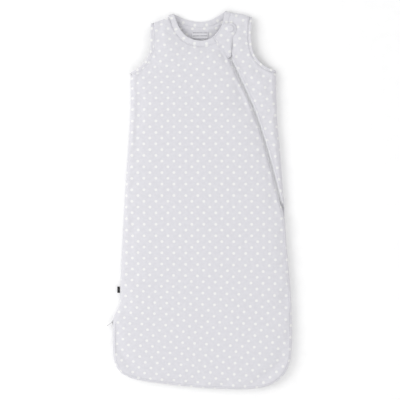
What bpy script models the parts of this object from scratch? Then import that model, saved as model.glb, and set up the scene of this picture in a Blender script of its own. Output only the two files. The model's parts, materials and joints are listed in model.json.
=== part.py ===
"""Baby sleeping bag with a two-way side zip, lying flat on its back. Metres, +Z up, +Y towards the neck.

Each soft layer is a flat slab. Seams, zip and bindings stand between the front and back layers as walls,
so the bag is hollow from the neck and armholes down to the hem. The frame's origin is the centre of the
footprint, on the surface that the bag lies on.
"""

import math

import bmesh
import bpy
from mathutils import Matrix, Vector

MM = 0.001

# Layers, from the floor up: (bottom, top). A gap of 0.3 mm parts neighbours.
BACK_SHELL_Z = (0.0, 0.9 * MM)
BACK_PAD_Z = (1.2 * MM, 4.2 * MM)
BACK_LINING_Z = (4.5 * MM, 5.4 * MM)
FRONT_LINING_Z = (15.5 * MM, 16.4 * MM)
FRONT_PAD_Z = (16.7 * MM, 19.7 * MM)
FRONT_SHELL_Z = (20.0 * MM, 20.9 * MM)
SEAM_WALL_Z = (1.2 * MM, 19.7 * MM)
BACK_BAND_Z = (1.2 * MM, 4.2 * MM)
FRONT_BAND_Z = (16.9 * MM, 19.9 * MM)
FLAP_LINING_Z = 21.35 * MM
FLAP_SHELL_Z = 22.35 * MM
FLAP_LAYER = 0.7 * MM
GAP = 0.3 * MM

# Widths measured in from an edge.
NECK_BAND = 13.0 * MM
ARM_BAND = 6.6 * MM
SEAM_WALL = 1.2 * MM
LAYER_TO_SEAM = 1.5 * MM

# The zip: two tapes, each with a row of coil along its edge.
ZIP_Z = 17.0 * MM
RIM_Z = 10.45 * MM
ZIP_INSET = 1.2 * MM
COIL = (0.15 * MM, 2.0 * MM)
COIL_HALF = 1.0 * MM
TAPE = (2.3 * MM, 9.0 * MM)
TAPE_HALF = 0.3 * MM
# The guard under the zip in section, (across, through): sewn to the back tape, free under the front one.
GUARD = [(-8.8, -0.8), (-6.6, -0.8), (-4.2, -3.3), (7.5, -3.3), (7.5, -4.1), (-4.5, -4.1), (-6.9, -1.6),
         (-8.8, -1.6)]
EDGE_TO_ZIP = 3.9 * MM
PAD_TO_ZIP = 10.5 * MM
TWIST_FROM = 16.0 * MM
TURN_FROM_Y = 45.0 * MM
RIM_FROM_Y = -250.0 * MM
STATION = 10.0 * MM
# How far an edge may run on to meet the next one.
RUN_ON = 18.0 * MM

# Sliders and pulls.
SLIDER_HALF = 5.5 * MM
SLIDER_WIDE = 3.7 * MM
PLATE = (1.25 * MM, 2.05 * MM)
PULL_AXIS = 2.75 * MM
PULL_LENGTH = 14.0 * MM
UPPER_SLIDER_AT = 11.5 * MM
LOWER_SLIDER_AT = 9.5 * MM
LOWER_PULL_REST = 55.0
POST_BACK = 2.2 * MM

SNAP = Vector((67.3 * MM, 379.3 * MM))
TAG_Y = -199.5 * MM

# The outline, in millimetres, anticlockwise from the left neck point as the bag is seen from above.
LEFT_SHOULDER = [(-57.7, 413.3), (-74.4, 404.2), (-92.1, 397.4), (-108.8, 391.7)]
LEFT_ARMHOLE = [(-108.8, 391.7), (-109.9, 365), (-109.9, 338.4), (-113.2, 325), (-120, 309.6),
                (-134.3, 294), (-154.3, 282.9)]
LEFT_SIDE = [(-154.3, 282.9), (-154.3, 198.6), (-163.2, 65.4), (-170.9, -67.8), (-176.5, -178.8),
             (-179.8, -236.5), (-186.4, -250), (-193.1, -262)]
LEFT_RIM = [(-193.1, -262), (-193.1, -332)]
HEM = [(-193.1, -332), (-187.6, -365.3), (-174.3, -384.2), (-152.1, -395.3), (-109.9, -403.9),
       (1.1, -416.8), (56.6, -419.3), (112.1, -419), (138.8, -415.9), (163.2, -407.5), (182, -393),
       (195.4, -371.9), (202, -345.3), (204.2, -300.9), (200.9, -201), (192, -101)]
RIGHT_SIDE = [(192, -101), (188.6, -45), (177.6, 109.8), (171.4, 176.4), (169.2, 231.9), (168.7, 287.4)]
RIGHT_ARMHOLE = [(168.7, 287.4), (156.5, 291.2), (141, 299.2), (128.8, 310.7), (119.9, 325.1),
                 (115, 342.9), (113.2, 365.1), (114.3, 390), (116.2, 405)]
RIGHT_SHOULDER = [(116.2, 405), (97, 412.6), (74, 415.8), (55.5, 419.3)]
BACK_NECK = [(55.5, 419.3), (38.9, 408.8), (25.5, 401.5), (-1.1, 396.6), (-34.4, 402.8), (-57.7, 413.3)]
FRONT_NECK = [(-57.7, 413.3), (-51.8, 396.2), (-45.5, 381.8), (-27.8, 362.4), (1.1, 353.3), (24, 358.8),
              (40, 374)]
RIGHT_NECK = [(40, 374), (47.7, 386.2), (52.2, 401.7), (55.5, 419.3)]

# The zip runs straight from the neck to ZIP_BEND, then curves out to the rim at ZIP_MEETS_RIM.
ZIP_TOP = (40, 374)
ZIP_BEND = (113.2, 216.3)
ZIP_CURVE = [(134.3, 158.6), (152.1, 98.7), (167.6, 41), (179.8, -7.9), (187, -48), (190.8, -101)]

# The front opens about this line, from the left neck point to the lower end of the zip.
FOLD = [(-56.6, 411.7), (-193.1, -258.7)]
# The snap flap is sewn to the front along the first two points.
FLAP_SEWN = [(29.5, 360.5), (62.2, 314)]
FLAP_FREE = [(68.4, 317.3), (71, 358.4)]
FLAP_NECK = [(50.5, 392.6), (47.7, 386.2), (40, 374)]
FLAP_ROUND = 13.5 * MM

FABRIC = ("dotted_knit", (0.74, 0.735, 0.78), 0.9, 0.0)
LINING = ("dotted_lining", (0.72, 0.715, 0.76), 0.92, 0.0)
WADDING = ("wadding", (0.9, 0.9, 0.9), 1.0, 0.0)
TAPE_FINISH = ("zip_tape", (0.56, 0.56, 0.58), 0.85, 0.0)
COIL_FINISH = ("zip_coil", (0.5, 0.5, 0.52), 0.45, 0.0)
SLIDER_FINISH = ("slider_metal", (0.5, 0.5, 0.52), 0.35, 0.9)
SNAP_FINISH = ("snap_metal", (0.7, 0.7, 0.7), 0.3, 1.0)
BLACK_TAG = ("tag_ribbon", (0.03, 0.03, 0.03), 0.8, 0.0)
LABEL = ("label_satin", (0.86, 0.86, 0.86), 0.6, 0.0)


def clear_scene():
    for obj in list(bpy.data.objects):
        bpy.data.objects.remove(obj)


def material(finish):
    """The Principled material of a finish, made once."""
    name, colour, roughness, metallic = finish
    found = bpy.data.materials.get(name)
    if found:
        return found
    made = bpy.data.materials.new(name)
    made.use_nodes = True
    shader = made.node_tree.nodes["Principled BSDF"]
    shader.inputs["Base Color"].default_value = (*colour, 1.0)
    shader.inputs["Roughness"].default_value = roughness
    shader.inputs["Metallic"].default_value = metallic
    return made


# ---------------------------------------------------------------- flat curves


def millimetres(points):
    return [Vector(p) * MM for p in points]


def along(points):
    """Distance along a polyline at each of its points."""
    total = [0.0]
    for a, b in zip(points, points[1:]):
        total.append(total[-1] + (b - a).length)
    return total


def spline(points, step=3 * MM, before=None):
    """A Catmull-Rom curve through the points. before is a point that sets its direction at the start."""
    first = before if before is not None else points[0] * 2 - points[1]
    ends = [first, *points, points[-1] * 2 - points[-2]]
    made = [points[0].copy()]
    for p0, p1, p2, p3 in zip(ends, ends[1:], ends[2:], ends[3:]):
        t1 = math.sqrt((p1 - p0).length)
        t2 = t1 + math.sqrt((p2 - p1).length)
        t3 = t2 + math.sqrt((p3 - p2).length)
        count = max(1, round((p2 - p1).length / step))
        for i in range(1, count + 1):
            t = t1 + (t2 - t1) * i / count
            a1 = p0.lerp(p1, t / t1)
            a2 = p1.lerp(p2, (t - t1) / (t2 - t1))
            a3 = p2.lerp(p3, (t - t2) / (t3 - t2))
            b1 = a1.lerp(a2, t / t2)
            b2 = a2.lerp(a3, (t - t1) / (t3 - t1))
            made.append(b1.lerp(b2, (t - t1) / (t2 - t1)))
    return made


def spaced(points, step):
    """The same line with its points an even distance apart."""
    total = along(points)
    count = max(1, round(total[-1] / step))
    made, k = [], 0
    for i in range(count + 1):
        wanted = total[-1] * i / count
        while k < len(points) - 2 and total[k + 1] < wanted:
            k += 1
        share = (wanted - total[k]) / (total[k + 1] - total[k])
        made.append(points[k].lerp(points[k + 1], share))
    return made


def thinned(points, within=0.25 * MM):
    """The line without the points that lie this near a straight line between those kept."""
    if len(points) < 3:
        return list(points)
    a, b = points[0], points[-1]
    chord = (b - a).normalized()
    far = max(range(1, len(points) - 1), key=lambda i: abs(chord.cross(points[i] - a)))
    if abs(chord.cross(points[far] - a)) < within:
        return [a, b]
    return thinned(points[: far + 1], within)[:-1] + thinned(points[far:], within)


def normals(points):
    """The right-hand normal at each point of a flat line."""
    made = []
    for i in range(len(points)):
        tangent = (points[min(i + 1, len(points) - 1)] - points[max(i - 1, 0)]).normalized()
        made.append(Vector((tangent.y, -tangent.x)))
    return made


def shifted(points, distance):
    """The line moved to its right by a distance, or by one distance for each point."""
    moves = distance if isinstance(distance, list) else [distance] * len(points)
    return [p + n * d for p, n, d in zip(points, normals(points), moves)]


def crossing(a, b, c, d):
    """Where segment ab meets segment cd, or None."""
    r, s = b - a, d - c
    turn = r.cross(s)
    if abs(turn) <= 0.05 * r.length * s.length:
        return None
    t, u = (c - a).cross(s) / turn, (c - a).cross(r) / turn
    slack = 1e-5
    return a + r * t if -slack <= t <= 1 + slack and -slack <= u <= 1 + slack else None


def longer(line, distance):
    """The line run straight on at both ends."""
    first = line[0] + (line[0] - line[1]).normalized() * distance
    last = line[-1] + (line[-1] - line[-2]).normalized() * distance
    return [first, *line, last]


def joined(first, second):
    """Two run-on lines cut back to where they cross, or to where they ended if they don't."""
    for i in range(len(first) - 2, -1, -1):
        for k in range(len(second) - 1):
            at = crossing(first[i], first[i + 1], second[k], second[k + 1])
            if at is not None:
                return first[: i + 1] + [at], [at] + second[k + 1 :]
    return first[:-1], second[1:]


def loop_of(*lines):
    """One closed loop from lines in order, each run on or cut back to meet the next."""
    lines = [longer(line, RUN_ON) for line in lines]
    for i in range(len(lines)):
        k = (i + 1) % len(lines)
        lines[i], lines[k] = joined(lines[i], lines[k])
    loop = []
    for line in lines:
        for p in line:
            if not loop or (p - loop[-1]).length > 0.05 * MM:
                loop.append(p)
    if (loop[0] - loop[-1]).length < 0.05 * MM:
        loop.pop()
    return loop


def clipped(loop, point, direction):
    """The part of a loop on the left of a line."""
    made = []
    for a, b in zip(loop, loop[1:] + loop[:1]):
        side_a, side_b = direction.cross(a - point), direction.cross(b - point)
        if side_a >= 0:
            made.append(a)
        if (side_a >= 0) != (side_b >= 0):
            made.append(a.lerp(b, side_a / (side_a - side_b)))
    return made


def smooth(t):
    t = min(1.0, max(0.0, t))
    return t * t * (3 - 2 * t)


# ---------------------------------------------------------------- solids


def world(obj):
    """Where an object stands, with all its parents."""
    place = Matrix.Identity(4)
    while obj is not None:
        place = obj.matrix_basis @ place
        obj = obj.parent
    return place


def put(obj, parent, place):
    """Parents an object and sets its place in the bag's frame."""
    obj.parent = parent
    obj.matrix_basis = world(parent).inverted() @ place


def make(name, mesh_builder, finish, parent, place=None, round_shaded=False):
    """A named object from a bmesh, which place carries from the object's own frame into the bag's."""
    bmesh.ops.recalc_face_normals(mesh_builder, faces=mesh_builder.faces)
    mesh = bpy.data.meshes.new(name)
    mesh_builder.to_mesh(mesh)
    mesh_builder.free()
    mesh.materials.append(material(finish))
    if round_shaded:
        mesh.shade_smooth()
        mesh.set_sharp_from_angle(angle=math.radians(35))
    obj = bpy.data.objects.new(name, mesh)
    bpy.context.scene.collection.objects.link(obj)
    put(obj, parent, place or Matrix.Identity(4))
    return obj


def prism(builder, loop, low, high):
    """Extrudes a flat loop from low to high."""
    bottom = [builder.verts.new((p.x, p.y, low)) for p in loop]
    face = builder.faces.new(bottom)
    grown = bmesh.ops.extrude_face_region(builder, geom=[face])
    up = [v for v in grown["geom"] if isinstance(v, bmesh.types.BMVert)]
    bmesh.ops.translate(builder, vec=(0, 0, high - low), verts=up)


def slab(name, loop, levels, finish, parent):
    builder = bmesh.new()
    prism(builder, loop, *levels)
    return make(name, builder, finish, parent)


def swept(builder, sections, closed=False):
    """Skins a row of sections with the same number of corners."""
    rows = [[builder.verts.new(p) for p in section] for section in sections]
    pairs = list(zip(rows, rows[1:])) + ([(rows[-1], rows[0])] if closed else [])
    for a, b in pairs:
        for k in range(len(a)):
            j = (k + 1) % len(a)
            builder.faces.new((a[k], a[j], b[j], b[k]))
    if not closed:
        builder.faces.new(rows[0])
        builder.faces.new(rows[-1])


def turned(name, profile, centre, finish, parent, sides=24):
    """Turns a profile of (radius, height) about a vertical axis."""
    builder = bmesh.new()
    rings = []
    for radius, height in profile:
        count = sides if radius > 0 else 1
        rings.append([
            builder.verts.new((radius * math.cos(2 * math.pi * k / sides),
                               radius * math.sin(2 * math.pi * k / sides), height))
            for k in range(count)
        ])
    closed = profile[0][0] > 0
    pairs = list(zip(rings, rings[1:])) + ([(rings[-1], rings[0])] if closed else [])
    for a, b in pairs:
        for k in range(sides):
            j = (k + 1) % sides
            corners = [a[k % len(a)], a[j % len(a)], b[j % len(b)], b[k % len(b)]]
            builder.faces.new(list(dict.fromkeys(corners)))
    place = Matrix.Translation((centre.x, centre.y, 0))
    return make(name, builder, finish, parent, place, round_shaded=True)


def helper(obj):
    """Keeps an object that only cuts or joins out of the model."""
    obj.hide_render = True
    obj.display_type = "WIRE"
    return obj


def boolean(obj, other, operation):
    change = obj.modifiers.new(operation.title(), "BOOLEAN")
    change.operation = operation
    change.object = helper(other)


def drilled(obj, centre, radius, levels):
    """Cuts a round upright hole."""
    tool = bmesh.new()
    bmesh.ops.create_cone(tool, cap_ends=True, segments=20, radius1=radius, radius2=radius,
                          depth=levels[1] - levels[0])
    place = Matrix.Translation((centre.x, centre.y, sum(levels) / 2))
    boolean(obj, make(obj.name + "_drill", tool, SNAP_FINISH, obj.parent, place), "DIFFERENCE")


def empty(name, parent=None, point=(0, 0, 0), axis=(0, 0, 1)):
    """An empty for what turns about or slides along a joint. It stands on the axis, with its Z along it."""
    obj = bpy.data.objects.new(name, None)
    bpy.context.scene.collection.objects.link(obj)
    turn = Vector(axis).to_track_quat("Z", "Y").to_matrix().to_4x4()
    put(obj, parent, Matrix.Translation(point) @ turn)
    return obj


# ---------------------------------------------------------------- the pattern


class Pattern:
    """The curves that every piece is cut from."""

    def __init__(self):
        self.left_shoulder = millimetres(LEFT_SHOULDER)
        self.left_armhole = thinned(spline(millimetres(LEFT_ARMHOLE)))
        left_side = spline(millimetres(LEFT_SIDE))
        self.left_high = thinned([p for p in left_side if p.y > RIM_FROM_Y])
        self.left_low = [self.left_high[-1]] + thinned([p for p in left_side if p.y <= RIM_FROM_Y])
        self.left_side = self.left_high + self.left_low[1:]
        self.left_rim = millimetres(LEFT_RIM)
        hem = spline(millimetres(HEM), before=millimetres(LEFT_RIM)[0])
        self.hem = thinned(hem, 0.15 * MM)
        right_side = spline(millimetres(RIGHT_SIDE), before=millimetres(HEM)[-2])
        self.right_low = thinned([p for p in right_side if p.y < TURN_FROM_Y])
        self.right_high = [self.right_low[-1]] + thinned([p for p in right_side if p.y >= TURN_FROM_Y])
        self.right_side = self.right_low + self.right_high[1:]
        self.right_armhole = thinned(spline(millimetres(RIGHT_ARMHOLE)))
        self.right_shoulder = millimetres(RIGHT_SHOULDER)
        self.back_neck = thinned(spline(millimetres(BACK_NECK)))
        self.front_neck = thinned(spline(millimetres(FRONT_NECK)))
        self.right_neck = thinned(spline(millimetres(RIGHT_NECK)))
        self.zip, self.straight = self.zip_stations()
        self.depths = [self.depth(p) for p in self.zip]
        self.twists = [self.twist(d) for d in self.depths]

    def zip_stations(self):
        """The zip's centre line from the neck to its lower end, and the direction of its straight part."""
        top, bend = Vector(ZIP_TOP) * MM, Vector(ZIP_BEND) * MM
        straight = spaced([top, bend], STATION)
        curve = spline([bend, *millimetres(ZIP_CURVE)], before=top.lerp(bend, 0.7))
        rim = shifted(list(reversed(self.left_rim + self.hem[1:])), ZIP_INSET)
        rim = [p for p in rim if p.y < curve[-1].y - 4 * MM or p.x < 0]
        rest = spaced(curve + rim, STATION)
        return straight + rest[1:], (bend - top).normalized()

    def depth(self, point):
        """How far a point of the zip lies inside the rim."""
        rim = self.hem + self.right_side[1:] if point.x > 0 else self.left_rim + self.hem[1:]
        return min(
            (point - (a + (b - a) * min(1, max(0, (point - a).dot(b - a) / (b - a).length_squared)))).length
            for a, b in zip(rim, rim[1:])
        )

    def twist(self, depth):
        """How far the zip has turned from facing up, 0, to facing out over the rim, a quarter turn."""
        return math.pi / 2 * smooth((TWIST_FROM - depth) / (TWIST_FROM - ZIP_INSET))

    def edge_by_zip(self, distance):
        """The line beside the zip that a layer of the front is cut to. Over the rim it reaches the outline."""
        reach = [distance - (distance + ZIP_INSET) * math.sin(t) if distance < PAD_TO_ZIP else distance
                 for t in self.twists]
        return shifted(self.zip, reach)

    def zip_frame(self, index):
        """(centre, width direction, face direction) of the zip at a station."""
        flat = normals(self.zip)[index]
        twist, at = self.twists[index], self.zip[index]
        inward, up = Vector((flat.x, flat.y, 0)), Vector((0, 0, 1))
        centre = Vector((at.x, at.y, ZIP_Z - (ZIP_Z - RIM_Z) * math.sin(twist)))
        wide = inward * math.cos(twist) + up * math.sin(twist)
        face = up * math.cos(twist) - inward * math.sin(twist)
        return centre, wide, face

    def back_loop(self, seam, rim, neck, arm):
        return loop_of(
            shifted(self.left_shoulder, -seam), shifted(self.left_armhole, -arm),
            shifted(self.left_high, -seam),
            shifted(self.left_low + self.left_rim[1:] + self.hem[1:] + self.right_low[1:], -rim),
            shifted(self.right_high, -seam), shifted(self.right_armhole, -arm),
            shifted(self.right_shoulder, -seam), shifted(self.back_neck, -neck),
        )

    def front_loop(self, seam, zip_edge, neck, arm):
        """The front on the left of the zip, fold line not yet cut."""
        by_zip = self.edge_by_zip(zip_edge)
        return loop_of(
            shifted(self.front_neck, neck), by_zip,
            shifted(list(reversed(self.left_side)), seam), shifted(list(reversed(self.left_armhole)), arm),
            shifted(list(reversed(self.left_shoulder)), seam),
        )

    def right_loop(self, seam, zip_edge, neck, arm):
        """The front on the right of the zip."""
        by_zip = [p for p in shifted(self.zip, -zip_edge) if p.y > -60 * MM]
        return loop_of(
            shifted(self.right_side, -seam), shifted(self.right_armhole, -arm),
            shifted(self.right_shoulder, -seam), shifted(list(reversed(self.right_neck)), -neck),
            by_zip,
        )


# ---------------------------------------------------------------- soft layers


def back_layers(pattern, root):
    neck, arm = NECK_BAND + GAP, ARM_BAND + GAP
    rim = PAD_TO_ZIP + ZIP_INSET
    shell = pattern.back_loop(0, 0, neck, arm)
    inner = pattern.back_loop(LAYER_TO_SEAM, rim, neck, arm)
    slab("back_shell", shell, BACK_SHELL_Z, FABRIC, root)
    slab("back_padding", inner, BACK_PAD_Z, WADDING, root)
    slab("back_lining", inner, BACK_LINING_Z, LINING, root)


def front_layers(pattern, root, panel):
    """The front left of the zip, cut at the fold line: a strip that stays and a panel that opens."""
    neck, arm = NECK_BAND + GAP, ARM_BAND + GAP
    top, end = millimetres(FOLD)
    down = (end - top).normalized()
    side = Vector((down.y, -down.x))
    layers = (("shell", EDGE_TO_ZIP, 0.0, FRONT_SHELL_Z, FABRIC),
              ("padding", PAD_TO_ZIP, LAYER_TO_SEAM, FRONT_PAD_Z, WADDING),
              ("lining", PAD_TO_ZIP, LAYER_TO_SEAM, FRONT_LINING_Z, LINING))
    for layer, by_zip, seam, levels, finish in layers:
        whole = pattern.front_loop(seam, by_zip, neck, arm)
        moving = clipped(whole, top - side * GAP / 2, down)
        fixed = clipped(whole, top + side * GAP / 2, -down)
        slab("front_" + layer, moving, levels, finish, panel)
        slab("front_" + layer + "_left", fixed, levels, finish, root)


def right_layers(pattern, root):
    neck, arm = NECK_BAND + GAP, ARM_BAND + GAP
    layers = (("shell", EDGE_TO_ZIP, 0.0, FRONT_SHELL_Z, FABRIC),
              ("padding", PAD_TO_ZIP, LAYER_TO_SEAM, FRONT_PAD_Z, WADDING),
              ("lining", PAD_TO_ZIP, LAYER_TO_SEAM, FRONT_LINING_Z, LINING))
    for layer, by_zip, seam, levels, finish in layers:
        loop = pattern.right_loop(seam, by_zip, neck, arm)
        obj = slab("right_panel_" + layer, loop, levels, finish, root)
        drilled(obj, SNAP, 2.4 * MM, (levels[0] - 1 * MM, levels[1] + 1 * MM))


def wall(name, line, parent, start=0.0, stop=0.0):
    """A seam between front and back, along a stretch of the outline, fabric on the left."""
    total = along(line)
    kept = [p for p, s in zip(line, total) if start < s < total[-1] - stop]
    ends = spaced(line, 0.5 * MM)
    first = min(ends, key=lambda p: abs(along_to(line, p) - start))
    last = min(ends, key=lambda p: abs(along_to(line, p) - (total[-1] - stop)))
    kept = [first, *kept, last]
    loop = kept + list(reversed(shifted(kept, -SEAM_WALL)))
    slab(name, loop, SEAM_WALL_Z, FABRIC, parent)


def along_to(line, point):
    """How far along a line the nearest place to a point is."""
    total = along(line)
    best = (1e9, 0.0)
    for a, b, s in zip(line, line[1:], total):
        t = min(1, max(0, (point - a).dot(b - a) / (b - a).length_squared))
        best = min(best, ((point - a.lerp(b, t)).length, s + t * (b - a).length))
    return best[1]


def seams(pattern, root):
    clear = ARM_BAND + 3 * GAP
    wall("left_shoulder_seam", pattern.left_shoulder, root, 1.0 * MM, clear)
    wall("right_shoulder_seam", pattern.right_shoulder, root, clear, 1.0 * MM)
    wall("left_side_seam", pattern.left_side, root, clear, 1.0 * MM)
    merge = next(p for p, d in zip(pattern.zip, pattern.depths) if d < 3.2 * MM)
    start = along_to(pattern.right_side, merge)
    wall("right_side_seam", pattern.right_side, root, start, clear)


def band(name, edge, width, levels, parent, first, last):
    """A binding along an edge, fabric on its left. first and last are the inner corners of its ends."""
    inner = [first, *shifted(edge, -width)[1:-1], last]
    slab(name, edge + list(reversed(inner)), levels, FABRIC, parent)


def cut(line, start, stop):
    """The stretch of a line between two distances along it."""
    fine = spaced(line, 1 * MM)
    total = along(fine)
    return thinned([p for p, s in zip(fine, total) if start <= s <= total[-1] - stop], 0.1 * MM)


def neck_bands(pattern, root, panel):
    """The band round the neck, in three pieces: back, front as far as the zip, and right of the zip."""
    down_left = (pattern.left_shoulder[1] - pattern.left_shoulder[0]).normalized()
    down_right = (pattern.right_shoulder[-2] - pattern.right_shoulder[-1]).normalized()
    back = cut(pattern.back_neck, 3.5 * MM, 3.5 * MM)
    band("back_neck_band", back, NECK_BAND, BACK_BAND_Z, root,
         back[0] + down_right * NECK_BAND, back[-1] + down_left * NECK_BAND)
    beside = TAPE[1] + 9 * GAP
    front = list(reversed(cut(pattern.front_neck, 3.5 * MM, beside)))
    band("front_neck_band", front, NECK_BAND, FRONT_BAND_Z, panel,
         front[0] + pattern.straight * NECK_BAND, front[-1] + down_left * NECK_BAND)
    right = list(reversed(cut(pattern.right_neck, beside, 3.5 * MM)))
    band("right_neck_band", right, NECK_BAND, FRONT_BAND_Z, root,
         right[0] + down_right * NECK_BAND, right[-1] + pattern.straight * NECK_BAND)


def arm_band(name, line, parent):
    """The binding round an armhole: over the front edge, down at one end and back along the back edge."""
    width = ARM_BAND
    inward = [Vector((n.x, n.y, 0)) * -width for n in normals(line)]
    low, high, half = 2.7 * MM, 18.2 * MM, 0.75 * MM
    sections = []
    for p, n in zip(line, inward):
        at = Vector((p.x, p.y, high))
        sections.append([at + Vector((0, 0, half)), at + n + Vector((0, 0, half)),
                         at + n - Vector((0, 0, half)), at - Vector((0, 0, half))])
    for p, n in zip(reversed(line), reversed(inward)):
        at = Vector((p.x, p.y, low))
        sections.append([at - Vector((0, 0, half)), at + n - Vector((0, 0, half)),
                         at + n + Vector((0, 0, half)), at + Vector((0, 0, half))])
    turn = half * 1.0
    tangents = [(line[1] - line[0]).normalized(), (line[-1] - line[-2]).normalized()]
    for index, tangent, sign in ((0, tangents[0], 1), (len(line) - 1, tangents[1], -1)):
        push = Vector((tangent.x, tangent.y, 0)) * turn * 2 * sign
        for row in (index, len(sections) - 1 - index):
            sections[row][2] = sections[row][2] + push
            sections[row][3] = sections[row][3] + push
    builder = bmesh.new()
    swept(builder, sections, closed=True)
    make(name, builder, FABRIC, parent)


# ---------------------------------------------------------------- the zip


def ribbon(name, pattern, corners, finish, parent, start_cut, end_cut):
    """A strip that follows the zip. corners are its section's (across, through), the cuts shorten its ends."""
    sections = []
    for i in range(len(pattern.zip)):
        centre, wide, face = pattern.zip_frame(i)
        sections.append([centre + wide * a + face * b for a, b in corners])
    for end, inner, distance in ((0, 1, start_cut), (-1, -2, end_cut)):
        moves = [(q - p).normalized() * distance for p, q in zip(sections[end], sections[inner])]
        sections[end] = [p + move for p, move in zip(sections[end], moves)]
    builder = bmesh.new()
    swept(builder, sections)
    make(name, builder, finish, parent)


def rectangle(across, half_thick):
    return [(across[0], -half_thick), (across[1], -half_thick), (across[1], half_thick),
            (across[0], half_thick)]


def zip_strips(pattern, root, panel):
    upper = UPPER_SLIDER_AT - SLIDER_HALF + POST_BACK + GAP
    lower = LOWER_SLIDER_AT - SLIDER_HALF + POST_BACK + GAP
    for name, side, parent in (("front", 1, panel), ("back", -1, root)):
        tape = rectangle([side * x for x in TAPE], TAPE_HALF)
        coil = rectangle([side * x for x in COIL], COIL_HALF)
        ribbon("zip_tape_" + name, pattern, tape, TAPE_FINISH, parent, 0.5 * MM, 0.0)
        ribbon("zip_coil_" + name, pattern, coil, COIL_FINISH, parent, upper, lower)
    guard = [(a * MM, b * MM) for a, b in GUARD]
    ribbon("zip_guard", pattern, guard, LINING, root, 1.0 * MM, 1.0 * MM)


def placement(pattern, start, from_top):
    """A matrix at a distance along the zip. X is along the zip into its closed part, Z its face."""
    if from_top:
        centre, wide, face = pattern.zip_frame(0)
        way = Vector((pattern.straight.x, pattern.straight.y, 0))
    else:
        centre, wide, face = pattern.zip_frame(len(pattern.zip) - 1)
        way = Vector((0, -1, 0))
    across = face.cross(way)
    turn = Matrix((way, across, face)).transposed().to_4x4()
    return Matrix.Translation(centre + way * start) @ turn


def box(name, low, high, finish, parent, place):
    """A box between two corners, in the coordinates of a placement."""
    builder = bmesh.new()
    bmesh.ops.create_cube(builder, size=1)
    middle = (Vector(low) + Vector(high)) / 2
    size = Vector(high) - Vector(low)
    bmesh.ops.scale(builder, verts=builder.verts, vec=size)
    bmesh.ops.translate(builder, verts=builder.verts, vec=middle)
    return make(name, builder, finish, parent, place)


def outline_plate(name, half_wide, levels, finish, parent, place):
    """A slider's wing: a plate with a rounded nose and a narrower tail."""
    nose, tail = -SLIDER_HALF, SLIDER_HALF
    loop = [Vector(p) for p in (
        (nose, -half_wide * 0.45), (nose + 1.2 * MM, -half_wide * 0.9), (nose + 3.2 * MM, -half_wide),
        (1.5 * MM, -half_wide * 0.92), (tail - 0.8 * MM, -half_wide * 0.82), (tail, -half_wide * 0.6))]
    loop += [Vector((p.x, -p.y)) for p in reversed(loop)]
    builder = bmesh.new()
    prism(builder, loop, *levels)
    return make(name, builder, finish, parent, place)


def slider(name, parent, place):
    """Two wings joined by a post at the nose, side rims that keep the coil in, and a strap for the pull."""
    body = outline_plate(name, SLIDER_WIDE, PLATE, SLIDER_FINISH, parent, place)
    under = outline_plate(name + "_under", SLIDER_WIDE, (-PLATE[1], -PLATE[0]), SLIDER_FINISH, parent, place)
    boolean(body, box(name + "_post", (-SLIDER_HALF + 0.2 * MM, -0.9 * MM, -PLATE[0] - 0.4 * MM),
                      (-SLIDER_HALF + POST_BACK, 0.9 * MM, PLATE[0] + 0.4 * MM),
                      SLIDER_FINISH, parent, place), "UNION")
    boolean(body, under, "UNION")
    for side in (-1, 1):
        for level in (-1, 1):
            wide = sorted((side * 2.55 * MM, side * 3.0 * MM))
            high = sorted((level * 0.65 * MM, level * (PLATE[0] + 0.3 * MM)))
            rim = box(f"{name}_rim{side}{level}", (-2.0 * MM, wide[0], high[0]),
                      (SLIDER_HALF - 1.2 * MM, wide[1], high[1]), SLIDER_FINISH, parent, place)
            boolean(body, rim, "UNION")
    for end in (-1, 1):
        leg = sorted((end * 1.7 * MM, end * 2.5 * MM))
        foot = box(f"{name}_leg{end}", (leg[0], -0.8 * MM, PLATE[1] - 0.3 * MM),
                   (leg[1], 0.8 * MM, 3.8 * MM), SLIDER_FINISH, parent, place)
        boolean(body, foot, "UNION")
    boolean(body, box(name + "_strap", (-2.5 * MM, -0.8 * MM, 3.45 * MM), (2.5 * MM, 0.8 * MM, 4.05 * MM),
                      SLIDER_FINISH, parent, place), "UNION")
    return body


def pull(name, parent, place):
    """A flat tab with a slot at one end. The bar beyond the slot runs under the slider's strap."""
    half, wide, bar = 0.425 * MM, 2.6 * MM, 0.425 * MM
    length = PULL_LENGTH
    loop = [Vector(p) for p in (
        (-bar, -wide * 0.75), (1.5 * MM, -wide), (length - 2.5 * MM, -wide), (length - 0.8 * MM, -wide * 0.75),
        (length, -wide * 0.3))]
    loop += [Vector((p.x, -p.y)) for p in reversed(loop)]
    builder = bmesh.new()
    prism(builder, loop, -half, half)
    tab = make(name, builder, SLIDER_FINISH, parent, place)
    slot = box(name + "_slot", (bar, -1.1 * MM, -2 * half), (4.2 * MM, 1.1 * MM, 2 * half),
               SLIDER_FINISH, parent, place)
    boolean(tab, slot, "DIFFERENCE")
    return tab


def stops(pattern, root, panel):
    """The clips that end the zip: one on each tape at the neck, and one across both at the lower end."""
    top = placement(pattern, 0, True)
    for name, side, parent in (("zip_top_stop_right", 1, root), ("zip_top_stop_left", -1, panel)):
        wide = sorted((side * 0.3 * MM, side * 2.0 * MM))
        box(name, (2.2 * MM, wide[0], -1.1 * MM), (4.8 * MM, wide[1], 1.1 * MM), COIL_FINISH, parent, top)
    end = placement(pattern, 0, False)
    box("zip_end_stop", (0.4 * MM, -2.0 * MM, -1.1 * MM), (3.2 * MM, 2.0 * MM, 1.1 * MM), COIL_FINISH, root, end)


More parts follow.
